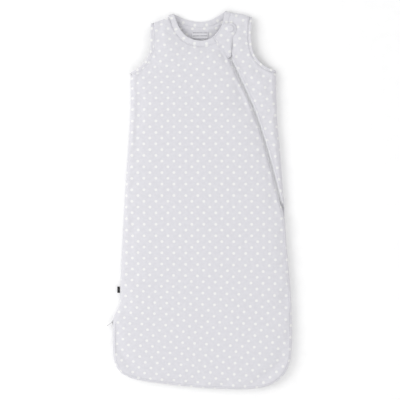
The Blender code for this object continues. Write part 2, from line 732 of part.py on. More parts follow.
def sliders(pattern, root):
    """Each slider slides along the zip, and its pull turns about the bar under the slider's strap."""
    swing = Matrix.Rotation(math.radians(-LOWER_PULL_REST), 4, "Y")
    ends = (("upper", UPPER_SLIDER_AT, True, Matrix.Identity(4)), ("lower", LOWER_SLIDER_AT, False, swing))
    for name, distance, from_top, turn in ends:
        place = placement(pattern, distance, from_top)
        along_zip, across, face = place.col[0].xyz, place.col[1].xyz, place.col[2].xyz
        slide = empty(name + "_slide", root, place.translation, along_zip)
        slider(name + "_slider_body", slide, place)
        bar = place @ Vector((0, 0, PULL_AXIS))
        pivot = empty(name + "_pull_pivot", slide, bar, -across)
        pull(name + "_pull_tab", pivot, place @ Matrix.Translation((0, 0, PULL_AXIS)) @ turn)


# ---------------------------------------------------------------- the snap flap


def flap_loop():
    turns = [math.radians(-38 + 160 * k / 10) for k in range(11)]
    arc = [SNAP + Vector((math.cos(t), math.sin(t))) * FLAP_ROUND for t in turns]
    lines = millimetres(FLAP_SEWN) + millimetres(FLAP_FREE) + arc + millimetres(FLAP_NECK)
    made = []
    for a, b in zip(lines, lines[1:] + lines[:1]):
        count = max(1, round((b - a).length / (9 * MM)))
        made += [a.lerp(b, i / count) for i in range(count)]
    return made


def flap_layer(name, level, rise, hole, finish, parent):
    """One layer of the flap: flat, with a raised round over the snap, and a hole where hole is a radius."""
    loop = flap_loop()
    rings = [loop]
    for radius in (10.5 * MM, 6.2 * MM, hole or 0.0):
        rings.append([SNAP + (p - SNAP).normalized() * radius for p in loop] if radius else [SNAP])
    heights = [level, level, level + rise, level + rise]
    builder = bmesh.new()
    faces = []
    for offset in (0.0, FLAP_LAYER):
        rows = [[builder.verts.new((p.x, p.y, z + offset)) for p in ring]
                for ring, z in zip(rings, heights)]
        faces.append(rows)
        for a, b in zip(rows, rows[1:]):
            for k in range(len(a)):
                j = (k + 1) % len(a)
                corners = [a[k], a[j], b[j % len(b)], b[k % len(b)]]
                builder.faces.new(list(dict.fromkeys(corners)))
    low, high = faces
    for index in ((0, -1) if hole else (0,)):
        a, b = low[index], high[index]
        for k in range(len(a)):
            j = (k + 1) % len(a)
            builder.faces.new((a[k], a[j], b[j], b[k]))
    return make(name, builder, finish, parent)


def snap_flap(root, flap):
    """The flap that covers the top of the zip, and the four parts of its press stud."""
    flap_layer("snap_flap_lining", FLAP_LINING_Z, 2.75 * MM, 2.3 * MM, LINING, flap)
    flap_layer("snap_flap_shell", FLAP_SHELL_Z, 3.2 * MM, 0.0, FABRIC, flap)
    stud = [(0, 14.3), (1.9, 14.3), (1.9, 21.2), (5.3, 21.2), (5.3, 21.8), (2.3, 21.9), (1.8, 22.4),
            (2.2, 23.0), (1.9, 23.4), (0, 23.5)]
    socket = [(2.5, 22.2), (5.5, 22.2), (5.6, 23.2), (4.4, 23.8), (2.5, 23.8)]
    cap = [(0, 23.9), (2.0, 23.9), (2.0, 25.1), (5.4, 25.1), (5.4, 25.2), (0, 25.25)]
    ring = [(2.2, 14.5), (5.0, 14.5), (5.0, 15.1), (2.2, 15.1)]
    for name, profile, parent in (("snap_stud", stud, root), ("snap_stud_ring", ring, root),
                                  ("snap_socket", socket, flap), ("snap_cap", cap, flap)):
        turned(name, [(r * MM, z * MM) for r, z in profile], SNAP, SNAP_FINISH, parent)


# ---------------------------------------------------------------- labels


def labels(root):
    """A loop tag in the left side seam, a label inside the back of the neck, a care label inside."""
    here = Matrix.Identity(4)
    tag = bmesh.new()
    seam = -178.2
    loop = [Vector(p) * MM for p in ((seam, -0.8), (seam - 5.0, -0.8), (seam - 5.7, -0.45),
                                     (seam - 5.7, 0.45), (seam - 5.0, 0.8), (seam, 0.8))]
    prism(tag, loop, -7.0 * MM, 7.0 * MM)
    lie = Matrix.Translation((0, TAG_Y, RIM_Z)) @ Matrix.Rotation(math.radians(90), 4, "X")
    make("side_tag", tag, BLACK_TAG, root, lie)
    box("neck_label", (-18 * MM, 357 * MM, 5.7 * MM), (18 * MM, 374 * MM, 6.0 * MM), LABEL, root, here)
    box("care_label", (-168.3 * MM, -125 * MM, 5.7 * MM), (-148 * MM, -75 * MM, 6.3 * MM), LABEL, root, here)


def recentre(frame):
    """Moves the whole bag so that the frame's origin is under the middle of its bounding box."""
    corners = [world(obj) @ v.co for obj in bpy.data.objects
               if obj.type == "MESH" and not obj.hide_render for v in obj.data.vertices]
    middle = [(min(c[k] for c in corners) + max(c[k] for c in corners)) / 2 for k in (0, 1)]
    frame.location = (-middle[0], -middle[1], -min(c.z for c in corners))
    return frame


def build():
    clear_scene()
    frame = empty("bag_frame")
    top, end = millimetres(FOLD)
    panel = empty("front_fold", frame, (top.x, top.y, FRONT_SHELL_Z[1]), (end - top).to_3d())
    sewn_top, sewn_end = millimetres(FLAP_SEWN)
    sewn_at = (sewn_top.x, sewn_top.y, FLAP_SHELL_Z + FLAP_LAYER)
    flap = empty("snap_flap_fold", panel, sewn_at, (sewn_end - sewn_top).to_3d())
    pattern = Pattern()
    back_layers(pattern, frame)
    front_layers(pattern, frame, panel)
    right_layers(pattern, frame)
    seams(pattern, frame)
    neck_bands(pattern, frame, panel)
    arm_band("left_armhole_band", pattern.left_armhole, frame)
    arm_band("right_armhole_band", pattern.right_armhole, frame)
    zip_strips(pattern, frame, panel)
    stops(pattern, frame, panel)
    sliders(pattern, frame)
    snap_flap(frame, flap)
    labels(frame)
    recentre(frame)
    return pattern, frame


pattern, frame = build()
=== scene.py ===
"""A padded baby sleeping bag in dotted knit, laid flat, with a two-way zip round one side and the hem."""

from __future__ import annotations

import json
import logging
import math
from collections.abc import Callable
from dataclasses import dataclass, field
from enum import Enum

import bmesh
import bpy
import numpy as np
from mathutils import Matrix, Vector
from mathutils.bvhtree import BVHTree
from mathutils.geometry import delaunay_2d_cdt

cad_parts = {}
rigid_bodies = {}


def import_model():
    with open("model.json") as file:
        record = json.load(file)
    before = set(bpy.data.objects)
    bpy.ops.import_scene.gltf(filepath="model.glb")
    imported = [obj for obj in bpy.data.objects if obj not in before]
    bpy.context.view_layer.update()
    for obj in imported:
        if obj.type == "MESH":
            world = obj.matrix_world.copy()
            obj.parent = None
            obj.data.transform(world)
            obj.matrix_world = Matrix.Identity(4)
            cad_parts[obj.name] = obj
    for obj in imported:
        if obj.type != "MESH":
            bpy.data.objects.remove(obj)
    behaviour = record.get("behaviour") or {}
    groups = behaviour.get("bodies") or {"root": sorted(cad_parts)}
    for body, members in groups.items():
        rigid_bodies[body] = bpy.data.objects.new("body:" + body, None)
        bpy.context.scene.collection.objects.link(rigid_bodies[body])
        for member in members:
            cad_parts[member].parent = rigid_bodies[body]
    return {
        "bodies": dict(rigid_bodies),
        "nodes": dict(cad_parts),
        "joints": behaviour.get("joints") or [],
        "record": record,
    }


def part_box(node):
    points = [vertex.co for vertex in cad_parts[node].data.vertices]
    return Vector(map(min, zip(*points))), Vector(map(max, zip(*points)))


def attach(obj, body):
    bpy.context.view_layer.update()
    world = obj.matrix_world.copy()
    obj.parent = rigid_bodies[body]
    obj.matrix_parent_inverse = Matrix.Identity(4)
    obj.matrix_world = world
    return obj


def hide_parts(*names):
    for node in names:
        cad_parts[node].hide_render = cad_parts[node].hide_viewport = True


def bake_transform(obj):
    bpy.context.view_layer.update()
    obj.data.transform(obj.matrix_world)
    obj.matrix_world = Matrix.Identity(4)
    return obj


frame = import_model()

LOG = logging.getLogger("sleeping_bag")
MM = 0.001
# One repeat of the print, and the sum of the heights of a place on the front and its twin on the back.
REPEAT = 26 * MM
MIRROR = 20.9 * MM
# The print on the cloth, in millimetres: one repeat across and along, straight and as it lies on the front.
PRINT_ACROSS, PRINT_ALONG, PRINT_ALONG_FRONT = 26.4, 25.7, 25.44
# On the front the print turns one way below one height and the other way above another, and it closes up
# towards the hem. The rates are for each millimetre past that height.
TURNED_BELOW, TURNED_ABOVE = -84.7, 222.7
LOW_TURN, LOW_CLOSING, HIGH_TURN = 2.7e-4, 1.33e-4, 1.07e-3
Line = list[Vector]
Section = list[Vector]


class Body(str, Enum):
    """The rigid bodies that pieces ride on."""

    BAG = "bag"
    PANEL = "front_panel"
    FLAP = "snap_flap"
    UPPER_SLIDER = "upper_slider"
    UPPER_PULL = "upper_pull"
    LOWER_SLIDER = "lower_slider"
    LOWER_PULL = "lower_pull"


class Slot(str, Enum):
    """The record's finishes."""

    KNIT = "dotted_knit"
    LINING = "dotted_lining"
    TAPE = "zip_tape"
    COIL = "zip_coil"
    SLIDER = "slider_metal"
    SNAP = "snap_metal"
    TAG = "tag_ribbon"
    LABEL = "label_satin"


# ------------------------------------------------------------------ lines


def points(pairs: list[tuple[float, float]]) -> Line:
    """Flat points from pairs in millimetres."""
    return [Vector(pair) * MM for pair in pairs]


def lengths(line: Line) -> list[float]:
    """Distance along a line at each of its points.

    Args:
        line: the points.

    Returns:
        One length for each point, from 0.
    """
    total = [0.0]
    for a, b in zip(line, line[1:]):
        total.append(total[-1] + (b - a).length)
    return total


def spline(line: Line, step: float = 2.5 * MM, before: Vector | None = None) -> Line:
    """A smooth curve through the points.

    Args:
        line: the points it passes through.
        step: the spacing of the points it returns.
        before: a point that sets its direction at the start.

    Returns:
        The curve's points.
    """
    first = before if before is not None else line[0] * 2 - line[1]
    ends = [first, *line, line[-1] * 2 - line[-2]]
    made = [line[0].copy()]
    for p0, p1, p2, p3 in zip(ends, ends[1:], ends[2:], ends[3:]):
        t1 = math.sqrt((p1 - p0).length)
        t2 = t1 + math.sqrt((p2 - p1).length)
        t3 = t2 + math.sqrt((p3 - p2).length)
        count = max(1, round((p2 - p1).length / step))
        for i in range(1, count + 1):
            t = t1 + (t2 - t1) * i / count
            share = (t - t1) / (t2 - t1)
            a1, a2, a3 = p0.lerp(p1, t / t1), p1.lerp(p2, share), p2.lerp(p3, (t - t2) / (t3 - t2))
            made.append(a1.lerp(a2, t / t2).lerp(a2.lerp(a3, (t - t1) / (t3 - t1)), share))
    return made


def spaced(line: Line, step: float) -> Line:
    """The same line with its points an even distance apart.

    Args:
        line: the points it runs through.
        step: the distance wanted.

    Returns:
        The new points, from end to end.
    """
    total = lengths(line)
    count = max(1, round(total[-1] / step))
    made: Line = []
    k = 0
    for i in range(count + 1):
        wanted = total[-1] * i / count
        while k < len(line) - 2 and total[k + 1] < wanted:
            k += 1
        span = total[k + 1] - total[k]
        made.append(line[k].lerp(line[k + 1], (wanted - total[k]) / span if span else 0.0))
    return made


def normals(line: Line) -> Line:
    """The right-hand normal at each point of a flat line.

    Args:
        line: the line.

    Returns:
        One unit vector for each point.
    """
    made = []
    for i in range(len(line)):
        tangent = (line[min(i + 1, len(line) - 1)] - line[max(i - 1, 0)]).normalized()
        made.append(Vector((tangent.y, -tangent.x)))
    return made


def shifted(line: Line, distance: float | list[float]) -> Line:
    """The line moved to its right by one distance, or by one for each point.

    Args:
        line: the line.
        distance: how far, or a list of distances.

    Returns:
        The moved points.
    """
    moves = distance if isinstance(distance, list) else [distance] * len(line)
    return [p + n * d for p, n, d in zip(line, normals(line), moves)]


def part_of(line: Line, start: float, stop: float, step: float = 2.5 * MM) -> Line:
    """A line without a length at its start and at its end, evenly spaced.

    Args:
        line: the line.
        start: what its start loses.
        stop: what its end loses.
        step: the spacing of its new points.

    Returns:
        The shorter line.
    """
    fine = spaced(line, 0.5 * MM)
    total = lengths(fine)
    kept = [p for p, s in zip(fine, total) if start <= s <= total[-1] - stop]
    return spaced(kept, step)


def crossing(a: Vector, b: Vector, c: Vector, d: Vector) -> Vector | None:
    """Where segment ab meets segment cd.

    Args:
        a, b: the first segment's ends.
        c, d: the second's.

    Returns:
        The place, or None where they don't meet.
    """
    r, s = b - a, d - c
    turn = r.cross(s)
    if abs(turn) <= 0.05 * r.length * s.length:
        return None
    t, u = (c - a).cross(s) / turn, (c - a).cross(r) / turn
    slack = 1e-5
    return a + r * t if -slack <= t <= 1 + slack and -slack <= u <= 1 + slack else None


def joined(first: Line, second: Line) -> tuple[Line, Line]:
    """Two run-on lines cut back to where they cross, or to where they ended if they don't.

    Args:
        first: a line that leads up to the second.
        second: the line that follows it.

    Returns:
        Both lines, cut.
    """
    for i in range(len(first) - 2, -1, -1):
        for k in range(len(second) - 1):
            at = crossing(first[i], first[i + 1], second[k], second[k + 1])
            if at is not None:
                return first[: i + 1] + [at], [at] + second[k + 1 :]
    return first[:-1], second[1:]


def closed_edges(lines: list[Line], run_on: float = 18 * MM) -> list[Line]:
    """Lines in order round a piece, each run on or cut back so that it ends where the next begins.

    Args:
        lines: the lines, each following the last.
        run_on: how far they run on before they are cut.

    Returns:
        The lines, cut to meet.
    """
    made = []
    for line in lines:
        first = line[0] + (line[0] - line[1]).normalized() * run_on
        last = line[-1] + (line[-1] - line[-2]).normalized() * run_on
        made.append([first, *line, last])
    for i in range(len(made)):
        k = (i + 1) % len(made)
        made[i], made[k] = joined(made[i], made[k])
    return made


def smooth(t: float) -> float:
    """An S-curve from 0 to 1."""
    t = min(1.0, max(0.0, t))
    return t * t * (3 - 2 * t)


# ------------------------------------------------------------------ materials


@dataclass
class Graph:
    """A material's nodes, made and joined by short calls."""

    name: str
    tree: bpy.types.NodeTree = field(init=False)
    material: bpy.types.Material = field(init=False)
    shader: bpy.types.Node = field(init=False)

    def __post_init__(self) -> None:
        """Makes the material with its Principled shader."""
        self.material = bpy.data.materials.new(self.name)
        self.material.use_nodes = True
        self.tree = self.material.node_tree
        self.shader = self.tree.nodes["Principled BSDF"]

    def add(self, kind: str, inputs: dict | None = None, **settings: object) -> bpy.types.Node:
        """Adds a node.

        Args:
            kind: the node's type, without the ShaderNode in front.
            inputs: values or sockets by input name or number.
            settings: the node's own settings.

        Returns:
            The node.
        """
        node = self.tree.nodes.new("ShaderNode" + kind)
        for key, value in settings.items():
            setattr(node, key, value)
        for key, value in (inputs or {}).items():
            self.join(value, node.inputs[key])
        return node

    def join(self, value: object, socket: bpy.types.NodeSocket) -> None:
        """Links a socket, or sets a plain value."""
        if isinstance(value, bpy.types.NodeSocket):
            self.tree.links.new(value, socket)
        else:
            socket.default_value = value

    def math(self, operation: str, *values: object) -> bpy.types.NodeSocket:
        """One Math node's result."""
        return self.add("Math", dict(enumerate(values)), operation=operation).outputs[0]

    def vector(self, operation: str, *values: object, out: str = "Vector") -> bpy.types.NodeSocket:
        """One Vector Math node's result."""
        return self.add("VectorMath", dict(enumerate(values)), operation=operation).outputs[out]

    def noise(self, where: object, scale: float, detail: float = 3.0) -> bpy.types.NodeSocket:
        """A noise value."""
        return self.add("TexNoise", {"Vector": where, "Scale": scale, "Detail": detail}).outputs["Fac"]

    def mix(self, share: object, a: object, b: object) -> bpy.types.NodeSocket:
        """A colour between two."""
        node = self.add("Mix", data_type="RGBA")
        for value, socket in ((share, node.inputs[0]), (a, node.inputs[6]), (b, node.inputs[7])):
            self.join(value, socket)
        return node.outputs[2]

    def span(self, value: object, low: float, high: float, to_low: float,
             to_high: float) -> bpy.types.NodeSocket:
        """A value carried from one span to another, with soft ends."""
        node = self.add("MapRange", {0: value, 1: low, 2: high, 3: to_low, 4: to_high},
                        interpolation_type="SMOOTHSTEP")
        return node.outputs[0]

    def bump(self, height: object, distance: float, strength: float,
             under: object = None) -> bpy.types.NodeSocket:
        """A bump on the surface, on top of another."""
        inputs = {"Height": height, "Distance": distance, "Strength": strength}
        if under is not None:
            inputs["Normal"] = under
        return self.add("Bump", inputs).outputs["Normal"]

    def finish(self, **sockets: object) -> bpy.types.Material:
        """Sets or links the shader's sockets, named with _ for a space."""
        for key, value in sockets.items():
            self.join(value, self.shader.inputs[key.replace("_", " ")])
        return self.material


@dataclass(frozen=True)
class DottedKnit:
    """Soft cotton jersey with a printed lattice of dots. One unit of the cloth map is one repeat."""

    name: str = "dotted_knit"
    ground: tuple = (0.688, 0.683, 0.717, 1.0)
    shade: tuple = (0.649, 0.644, 0.683, 1.0)
    dot: tuple = (0.815, 0.813, 0.8, 1.0)
    dot_radius: float = 0.119
    wales: float = 26.0

    def make(self) -> bpy.types.Material:
        """Builds the material."""
        g = Graph(self.name)
        cloth = g.add("UVMap", uv_map="cloth").outputs["UV"]
        ink_edge = g.noise(g.vector("SCALE", cloth), 30.0, 2.0)
        half = (0.5, 0.5, 0.0)
        near = []
        for offset in ((0.0, 0.0, 0.0), half):
            cell = g.vector("FRACTION", g.vector("ADD", cloth, offset))
            near.append(g.vector("LENGTH", g.vector("SUBTRACT", cell, half), out="Value"))
        reach = g.math("ADD", g.math("MINIMUM", *near), g.math("MULTIPLY_ADD", ink_edge, 0.02, -0.01))
        printed = g.span(reach, self.dot_radius - 0.012, self.dot_radius + 0.012, 1.0, 0.0)
        mottle = g.noise(cloth, 3.5, 4.0)
        fibre = g.noise(cloth, 160.0, 2.0)
        ground = g.mix(g.span(mottle, 0.3, 0.7, 0.0, 1.0), self.shade, self.ground)
        ground = g.mix(g.span(fibre, 0.25, 0.8, 0.35, 0.0), ground, self.shade)
        dots = g.mix(g.span(fibre, 0.2, 0.8, 0.25, 0.0), self.dot, self.ground)
        colour = g.mix(printed, ground, dots)
        split = g.add("SeparateXYZ", {0: cloth})
        across = g.math("MULTIPLY", split.outputs[0], self.wales)
        ribs = g.math("ABSOLUTE", g.math("SINE", g.math("MULTIPLY", across, math.pi)))
        lean = g.math("MULTIPLY", g.math("PINGPONG", across, 0.5), 0.9)
        rise = g.math("ADD", g.math("MULTIPLY", split.outputs[1], self.wales * 1.25), lean)
        loops = g.math("ABSOLUTE", g.math("SINE", g.math("MULTIPLY", rise, math.pi)))
        stitch = g.math("MULTIPLY", g.math("POWER", ribs, 0.6), g.math("MULTIPLY_ADD", loops, 0.5, 0.5))
        weave = g.bump(stitch, 0.00022, 0.55)
        soft = g.bump(g.noise(cloth, 9.0, 3.0), 0.0012, 0.25, weave)
        return g.finish(Base_Color=colour, Normal=soft, Roughness=g.span(fibre, 0.2, 0.8, 0.8, 0.95),
                        Sheen_Weight=0.12, Sheen_Roughness=0.5, Specular_IOR_Level=0.2)


@dataclass(frozen=True)
class Twill:
    """Woven tape or ribbon, with a diagonal rib. The cloth map runs along it in repeats of the print."""

    name: str
    colour: tuple
    shade: tuple
    ribs: float = 24.0
    roughness: float = 0.8
    sheen: float = 0.1

    def make(self) -> bpy.types.Material:
        """Builds the material."""
        g = Graph(self.name)
        cloth = g.add("UVMap", uv_map="cloth").outputs["UV"]
        split = g.add("SeparateXYZ", {0: cloth})
        along = g.math("MULTIPLY", split.outputs[0], self.ribs)
        across = g.math("MULTIPLY", split.outputs[1], self.ribs * 1.4)
        rib = g.math("SINE", g.math("MULTIPLY", g.math("ADD", along, across), 2 * math.pi))
        thread = g.math("SINE", g.math("MULTIPLY", g.math("SUBTRACT", along, across), 2 * math.pi))
        height = g.math("MULTIPLY_ADD", thread, 0.35, rib)
        fuzz = g.noise(cloth, 120.0, 2.0)
        # Painted shade: the weave is coloured darker where the rib's height is low, in its grooves, with
        # random fuzz mixed in.
        colour = g.mix(g.span(g.math("ADD", height, fuzz), -1.0, 1.6, 0.0, 1.0), self.shade, self.colour)
        return g.finish(Base_Color=colour, Normal=g.bump(height, 0.00012, 0.5),
                        Roughness=g.span(fuzz, 0.2, 0.8, self.roughness - 0.08, self.roughness + 0.08),
                        Sheen_Weight=self.sheen, Specular_IOR_Level=0.3)


@dataclass(frozen=True)
class Moulded:
    """Nylon, thread, enamel or plated metal: an even finish with fine wear. Reads Object coordinates."""

    name: str
    colour: tuple
    shade: tuple
    roughness: float
    metallic: float = 0.0
    grain: float = 900.0
    depth: float = 0.00003
    coat: float = 0.0

    def make(self) -> bpy.types.Material:
        """Builds the material."""
        g = Graph(self.name)
        place = g.add("TexCoord").outputs["Object"]
        wear = g.noise(place, self.grain, 4.0)
        cloud = g.noise(place, self.grain * 0.12, 2.0)
        colour = g.mix(g.span(cloud, 0.3, 0.7, 0.0, 1.0), self.shade, self.colour)
        rough = g.span(wear, 0.25, 0.8, self.roughness - 0.07, self.roughness + 0.1)
        return g.finish(Base_Color=colour, Roughness=rough, Metallic=self.metallic, Coat_Weight=self.coat,
                        Normal=g.bump(wear, self.depth, 0.4))


@dataclass(frozen=True)
class Finishes:
    """Every finish on the bag."""

    knit: bpy.types.Material
    tape: bpy.types.Material
    coil: bpy.types.Material
    thread: bpy.types.Material
    slider: bpy.types.Material
    snap: bpy.types.Material
    ribbon: bpy.types.Material
    satin: bpy.types.Material
    tape_thread: bpy.types.Material

    @staticmethod
    def make() -> Finishes:
        """Builds them all."""
        return Finishes(
            knit=DottedKnit().make(),
            tape=Twill("zip_tape", (0.8, 0.8, 0.82, 1), (0.72, 0.72, 0.74, 1)).make(),
            coil=Moulded("zip_nylon", (0.9, 0.9, 0.92, 1), (0.83, 0.83, 0.85, 1), 0.42).make(),
            # Painted shade: the thread is coloured darker than the knit so that each row of stitches reads as
            # the shaded groove of its sewn edge.
            thread=Moulded("thread", (0.56, 0.56, 0.61, 1), (0.5, 0.5, 0.55, 1), 0.8, grain=2500.0).make(),
            slider=Moulded("slider_enamel", (0.42, 0.42, 0.44, 1), (0.36, 0.36, 0.38, 1), 0.35, 0.75,
                           coat=0.2).make(),
            snap=Moulded("snap_plating", (0.66, 0.66, 0.66, 1), (0.56, 0.56, 0.57, 1), 0.28, 1.0).make(),
            ribbon=Twill("black_ribbon", (0.02, 0.02, 0.022, 1), (0.008, 0.008, 0.009, 1), 30.0,
                         0.6).make(),
            satin=Twill("white_satin", (0.76, 0.755, 0.79, 1), (0.69, 0.685, 0.72, 1), 46.0, 0.45,
                        0.2).make(),
            tape_thread=Moulded("slate_thread", (0.16, 0.16, 0.2, 1), (0.1, 0.1, 0.13, 1), 0.8,
                                grain=2500.0).make(),
        )


# ------------------------------------------------------------------ the pattern


@dataclass
class Pattern:
    """The curves that the bag's pieces are cut to, in metres in the bag's frame."""

    neck_band: float = 13.0 * MM
    arm_band: float = 6.6 * MM
    zip_inset: float = 1.2 * MM
    zip_height: float = 17.0 * MM
    rim_height: float = 10.45 * MM
    twist_from: float = 9.0 * MM
    left_shoulder: Line = field(default_factory=lambda: points(
        [(-57.7, 413.3), (-74.4, 404.2), (-92.1, 397.4), (-108.8, 391.7)]))
    left_armhole: Line = field(default_factory=lambda: points(
        [(-108.8, 391.7), (-109.9, 365), (-109.9, 338.4), (-113.2, 325), (-120, 309.6), (-134.3, 294),
         (-154.3, 282.9)]))
    left_side: Line = field(default_factory=lambda: points(
        [(-154.3, 282.9), (-154.3, 198.6), (-163.2, 65.4), (-170.9, -67.8), (-176.5, -178.8),
         (-179.8, -236.5), (-186.4, -250), (-193.1, -262)]))
    left_rim: Line = field(default_factory=lambda: points([(-193.1, -262), (-193.1, -332)]))
    hem: Line = field(default_factory=lambda: points(
        [(-193.1, -332), (-187.6, -365.3), (-174.3, -384.2), (-152.1, -395.3), (-109.9, -403.9),
         (1.1, -416.8), (56.6, -419.3), (112.1, -419), (138.8, -415.9), (163.2, -407.5), (182, -393),
         (195.4, -371.9), (202, -345.3), (204.2, -300.9), (200.9, -201), (192, -101)]))
    right_side: Line = field(default_factory=lambda: points(
        [(192, -101), (188.6, -45), (177.6, 109.8), (171.4, 176.4), (169.2, 231.9), (168.7, 287.4)]))
    right_armhole: Line = field(default_factory=lambda: points(
        [(168.7, 287.4), (156.5, 291.2), (141, 299.2), (128.8, 310.7), (119.9, 325.1), (115, 342.9),
         (113.2, 365.1), (114.3, 390), (116.2, 405)]))
    right_shoulder: Line = field(default_factory=lambda: points(
        [(116.2, 405), (97, 412.6), (74, 415.8), (55.5, 419.3)]))
    back_neck: Line = field(default_factory=lambda: points(
        [(55.5, 419.3), (38.9, 408.8), (25.5, 401.5), (-1.1, 396.6), (-34.4, 402.8), (-57.7, 413.3)]))
    front_neck: Line = field(default_factory=lambda: points(
        [(-57.7, 413.3), (-51.8, 396.2), (-45.5, 381.8), (-27.8, 362.4), (1.1, 353.3), (24, 358.8),
         (40, 374)]))
    right_neck: Line = field(default_factory=lambda: points(
        [(40, 374), (47.7, 386.2), (52.2, 401.7), (55.5, 419.3)]))
    zip_curve: Line = field(default_factory=lambda: points(
        [(113.2, 216.3), (134.3, 158.6), (152.1, 98.7), (167.6, 41), (179.8, -7.9), (187, -48),
         (190.8, -101)]))
    fold: Line = field(default_factory=lambda: points([(-56.6, 411.7), (-193.1, -258.7)]))
    flap_sewn: Line = field(default_factory=lambda: points([(29.5, 360.5), (62.2, 314)]))
    flap_free: Line = field(default_factory=lambda: points([(68.4, 317.3), (71, 358.4)]))
    flap_neck: Line = field(default_factory=lambda: points([(50.5, 392.6), (47.7, 386.2), (40, 374)]))
    snap: Vector = field(default_factory=lambda: Vector((67.3, 379.3)) * MM)
    offset: Vector = field(default_factory=lambda: Vector((0.0, 0.0)))
    zip: Line = field(init=False)
    depths: list[float] = field(init=False)
    twists: list[float] = field(init=False)

    def __post_init__(self) -> None:
        """Smooths the curves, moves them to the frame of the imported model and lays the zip."""
        low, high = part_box("back_shell")
        outline = self.left_side + self.left_rim + self.hem + self.right_side
        middle_x = (min(p.x for p in outline) + max(p.x for p in outline)) / 2
        lowest_y = min(p.y for p in spline(self.hem, before=self.left_rim[0]))
        self.offset = Vector(((low.x + high.x) / 2 - middle_x, low.y - lowest_y))
        for name in ("left_shoulder", "left_armhole", "left_side", "left_rim", "hem", "right_side",
                     "right_armhole", "right_shoulder", "back_neck", "front_neck", "right_neck",
                     "zip_curve", "fold", "flap_sewn", "flap_free", "flap_neck"):
            setattr(self, name, [p + self.offset for p in getattr(self, name)])
        self.snap = self.snap + self.offset
        top = self.right_neck[0]
        bend = self.zip_curve[0]
        curve = spline(self.zip_curve, before=top.lerp(bend, 0.7))
        before = self.hem[-2]
        self.hem = spline(self.hem, before=self.left_rim[0])
        self.left_side, self.right_side = spline(self.left_side), spline(self.right_side, before=before)
        for name in ("left_armhole", "right_armhole", "back_neck", "front_neck", "right_neck"):
            setattr(self, name, spline(getattr(self, name)))
        self.left_rim = spaced(self.left_rim, 2.5 * MM)
        rim = shifted(list(reversed(self.left_rim + self.hem[1:])), self.zip_inset)
        rim = [p for p in rim if p.y < curve[-1].y - 4 * MM or p.x < 0]
        self.zip = spaced([top, *curve, *rim], 2.5 * MM)
        rims = {True: self.hem + self.right_side[1:], False: self.left_rim + self.hem[1:]}
        self.depths = [float(near_line(np.array([p[:]]), rims[p.x > 0])[0][0]) for p in self.zip]
        self.twists = [self.twist(depth) for depth in self.depths]

    def twist(self, depth: float) -> float:
        """How far the zip has turned, from 0 where it faces up to a quarter turn over the rim."""
        return math.pi / 2 * smooth((self.twist_from - depth) / (self.twist_from - self.zip_inset))

    def zip_frames(self) -> list[tuple[Vector, Vector, Vector]]:
        """(centre, width direction, face direction) at each point of the zip."""
        made = []
        for at, flat, twist in zip(self.zip, normals(self.zip), self.twists):
            inward, up = Vector((flat.x, flat.y, 0)), Vector((0, 0, 1))
            height = self.zip_height - (self.zip_height - self.rim_height) * math.sin(twist)
            wide = inward * math.cos(twist) + up * math.sin(twist)
            made.append((Vector((at.x, at.y, height)), wide, up * math.cos(twist) - inward * math.sin(twist)))
        return made

    def edge_by_zip(self, distance: float) -> Line:
        """The edge of the front beside the zip. Over the rim it reaches the outline.

        Args:
            distance: how far it keeps from the zip's centre line where that faces up.

        Returns:
            The edge, a point for each of the zip's.
        """
        return shifted(self.zip, [distance - (distance + self.zip_inset) * math.sin(t) for t in self.twists])

    def fold_frame(self) -> tuple[Vector, Vector, Vector]:
        """(a point, direction down, direction to the opening side) of the line that the front opens about."""
        down = (self.fold[1] - self.fold[0]).normalized()
        return self.fold[0], down, Vector((-down.y, down.x))


def near_line(where: np.ndarray, line: Line) -> tuple[np.ndarray, np.ndarray]:
    """How near points come to a line.

    Args:
        where: the points, one in each row.
        line: the line.

    Returns:
        The distance of each point, and the place along the line, as a number of its points, that is nearest.
    """
    a = np.array([p[:] for p in line[:-1]])
    d = np.array([p[:] for p in line[1:]]) - a
    square = np.maximum((d * d).sum(1), 1e-18)
    best = np.full(len(where), 1e9)
    place = np.zeros(len(where))
    for start in range(0, len(where), 2000):
        p = where[start : start + 2000, None, :] - a[None]
        t = np.clip((p * d[None]).sum(2) / square[None], 0, 1)
        gap = np.linalg.norm(p - t[..., None] * d[None], axis=2)
        k = gap.argmin(1)
        rows = np.arange(len(k))
        best[start : start + 2000] = gap[rows, k]
        place[start : start + 2000] = k + t[rows, k]
    return best, place


class Print(Enum):
    """How the printed cloth lies on a piece."""

    FRONT = "front"
    RIGHT = "right"
    BACK = "back"

    def repeats(self, x: np.ndarray, y: np.ndarray) -> np.ndarray:
        """The cloth map of flat places, in repeats of the print.

        Args:
            x: places across the bag, in millimetres from the pattern's own centre.
            y: places along the bag.

        Returns:
            One row of two numbers for each place.
        """
        if self is Print.FRONT:
            below, above = np.maximum(0, TURNED_BELOW - y), np.maximum(0, y - TURNED_ABOVE)
            u = x - 8.5 + LOW_TURN * below**2 / 2 + HIGH_TURN * above**2 / 2
            v = y + 3.1 + LOW_TURN * below * x - HIGH_TURN * above * x - LOW_CLOSING * below**2 / 2
            return np.stack([u / PRINT_ACROSS, v / PRINT_ALONG_FRONT], 1)
        lean, from_x, from_y = (math.radians(8.5), 21.1, 19.6) if self is Print.RIGHT else (0.02, 4.0, 9.0)
        u = math.cos(lean) * x + math.sin(lean) * y - from_x
        v = -math.sin(lean) * x + math.cos(lean) * y - from_y
        return np.stack([u / PRINT_ACROSS, v / PRINT_ALONG], 1)


# ------------------------------------------------------------------ meshes


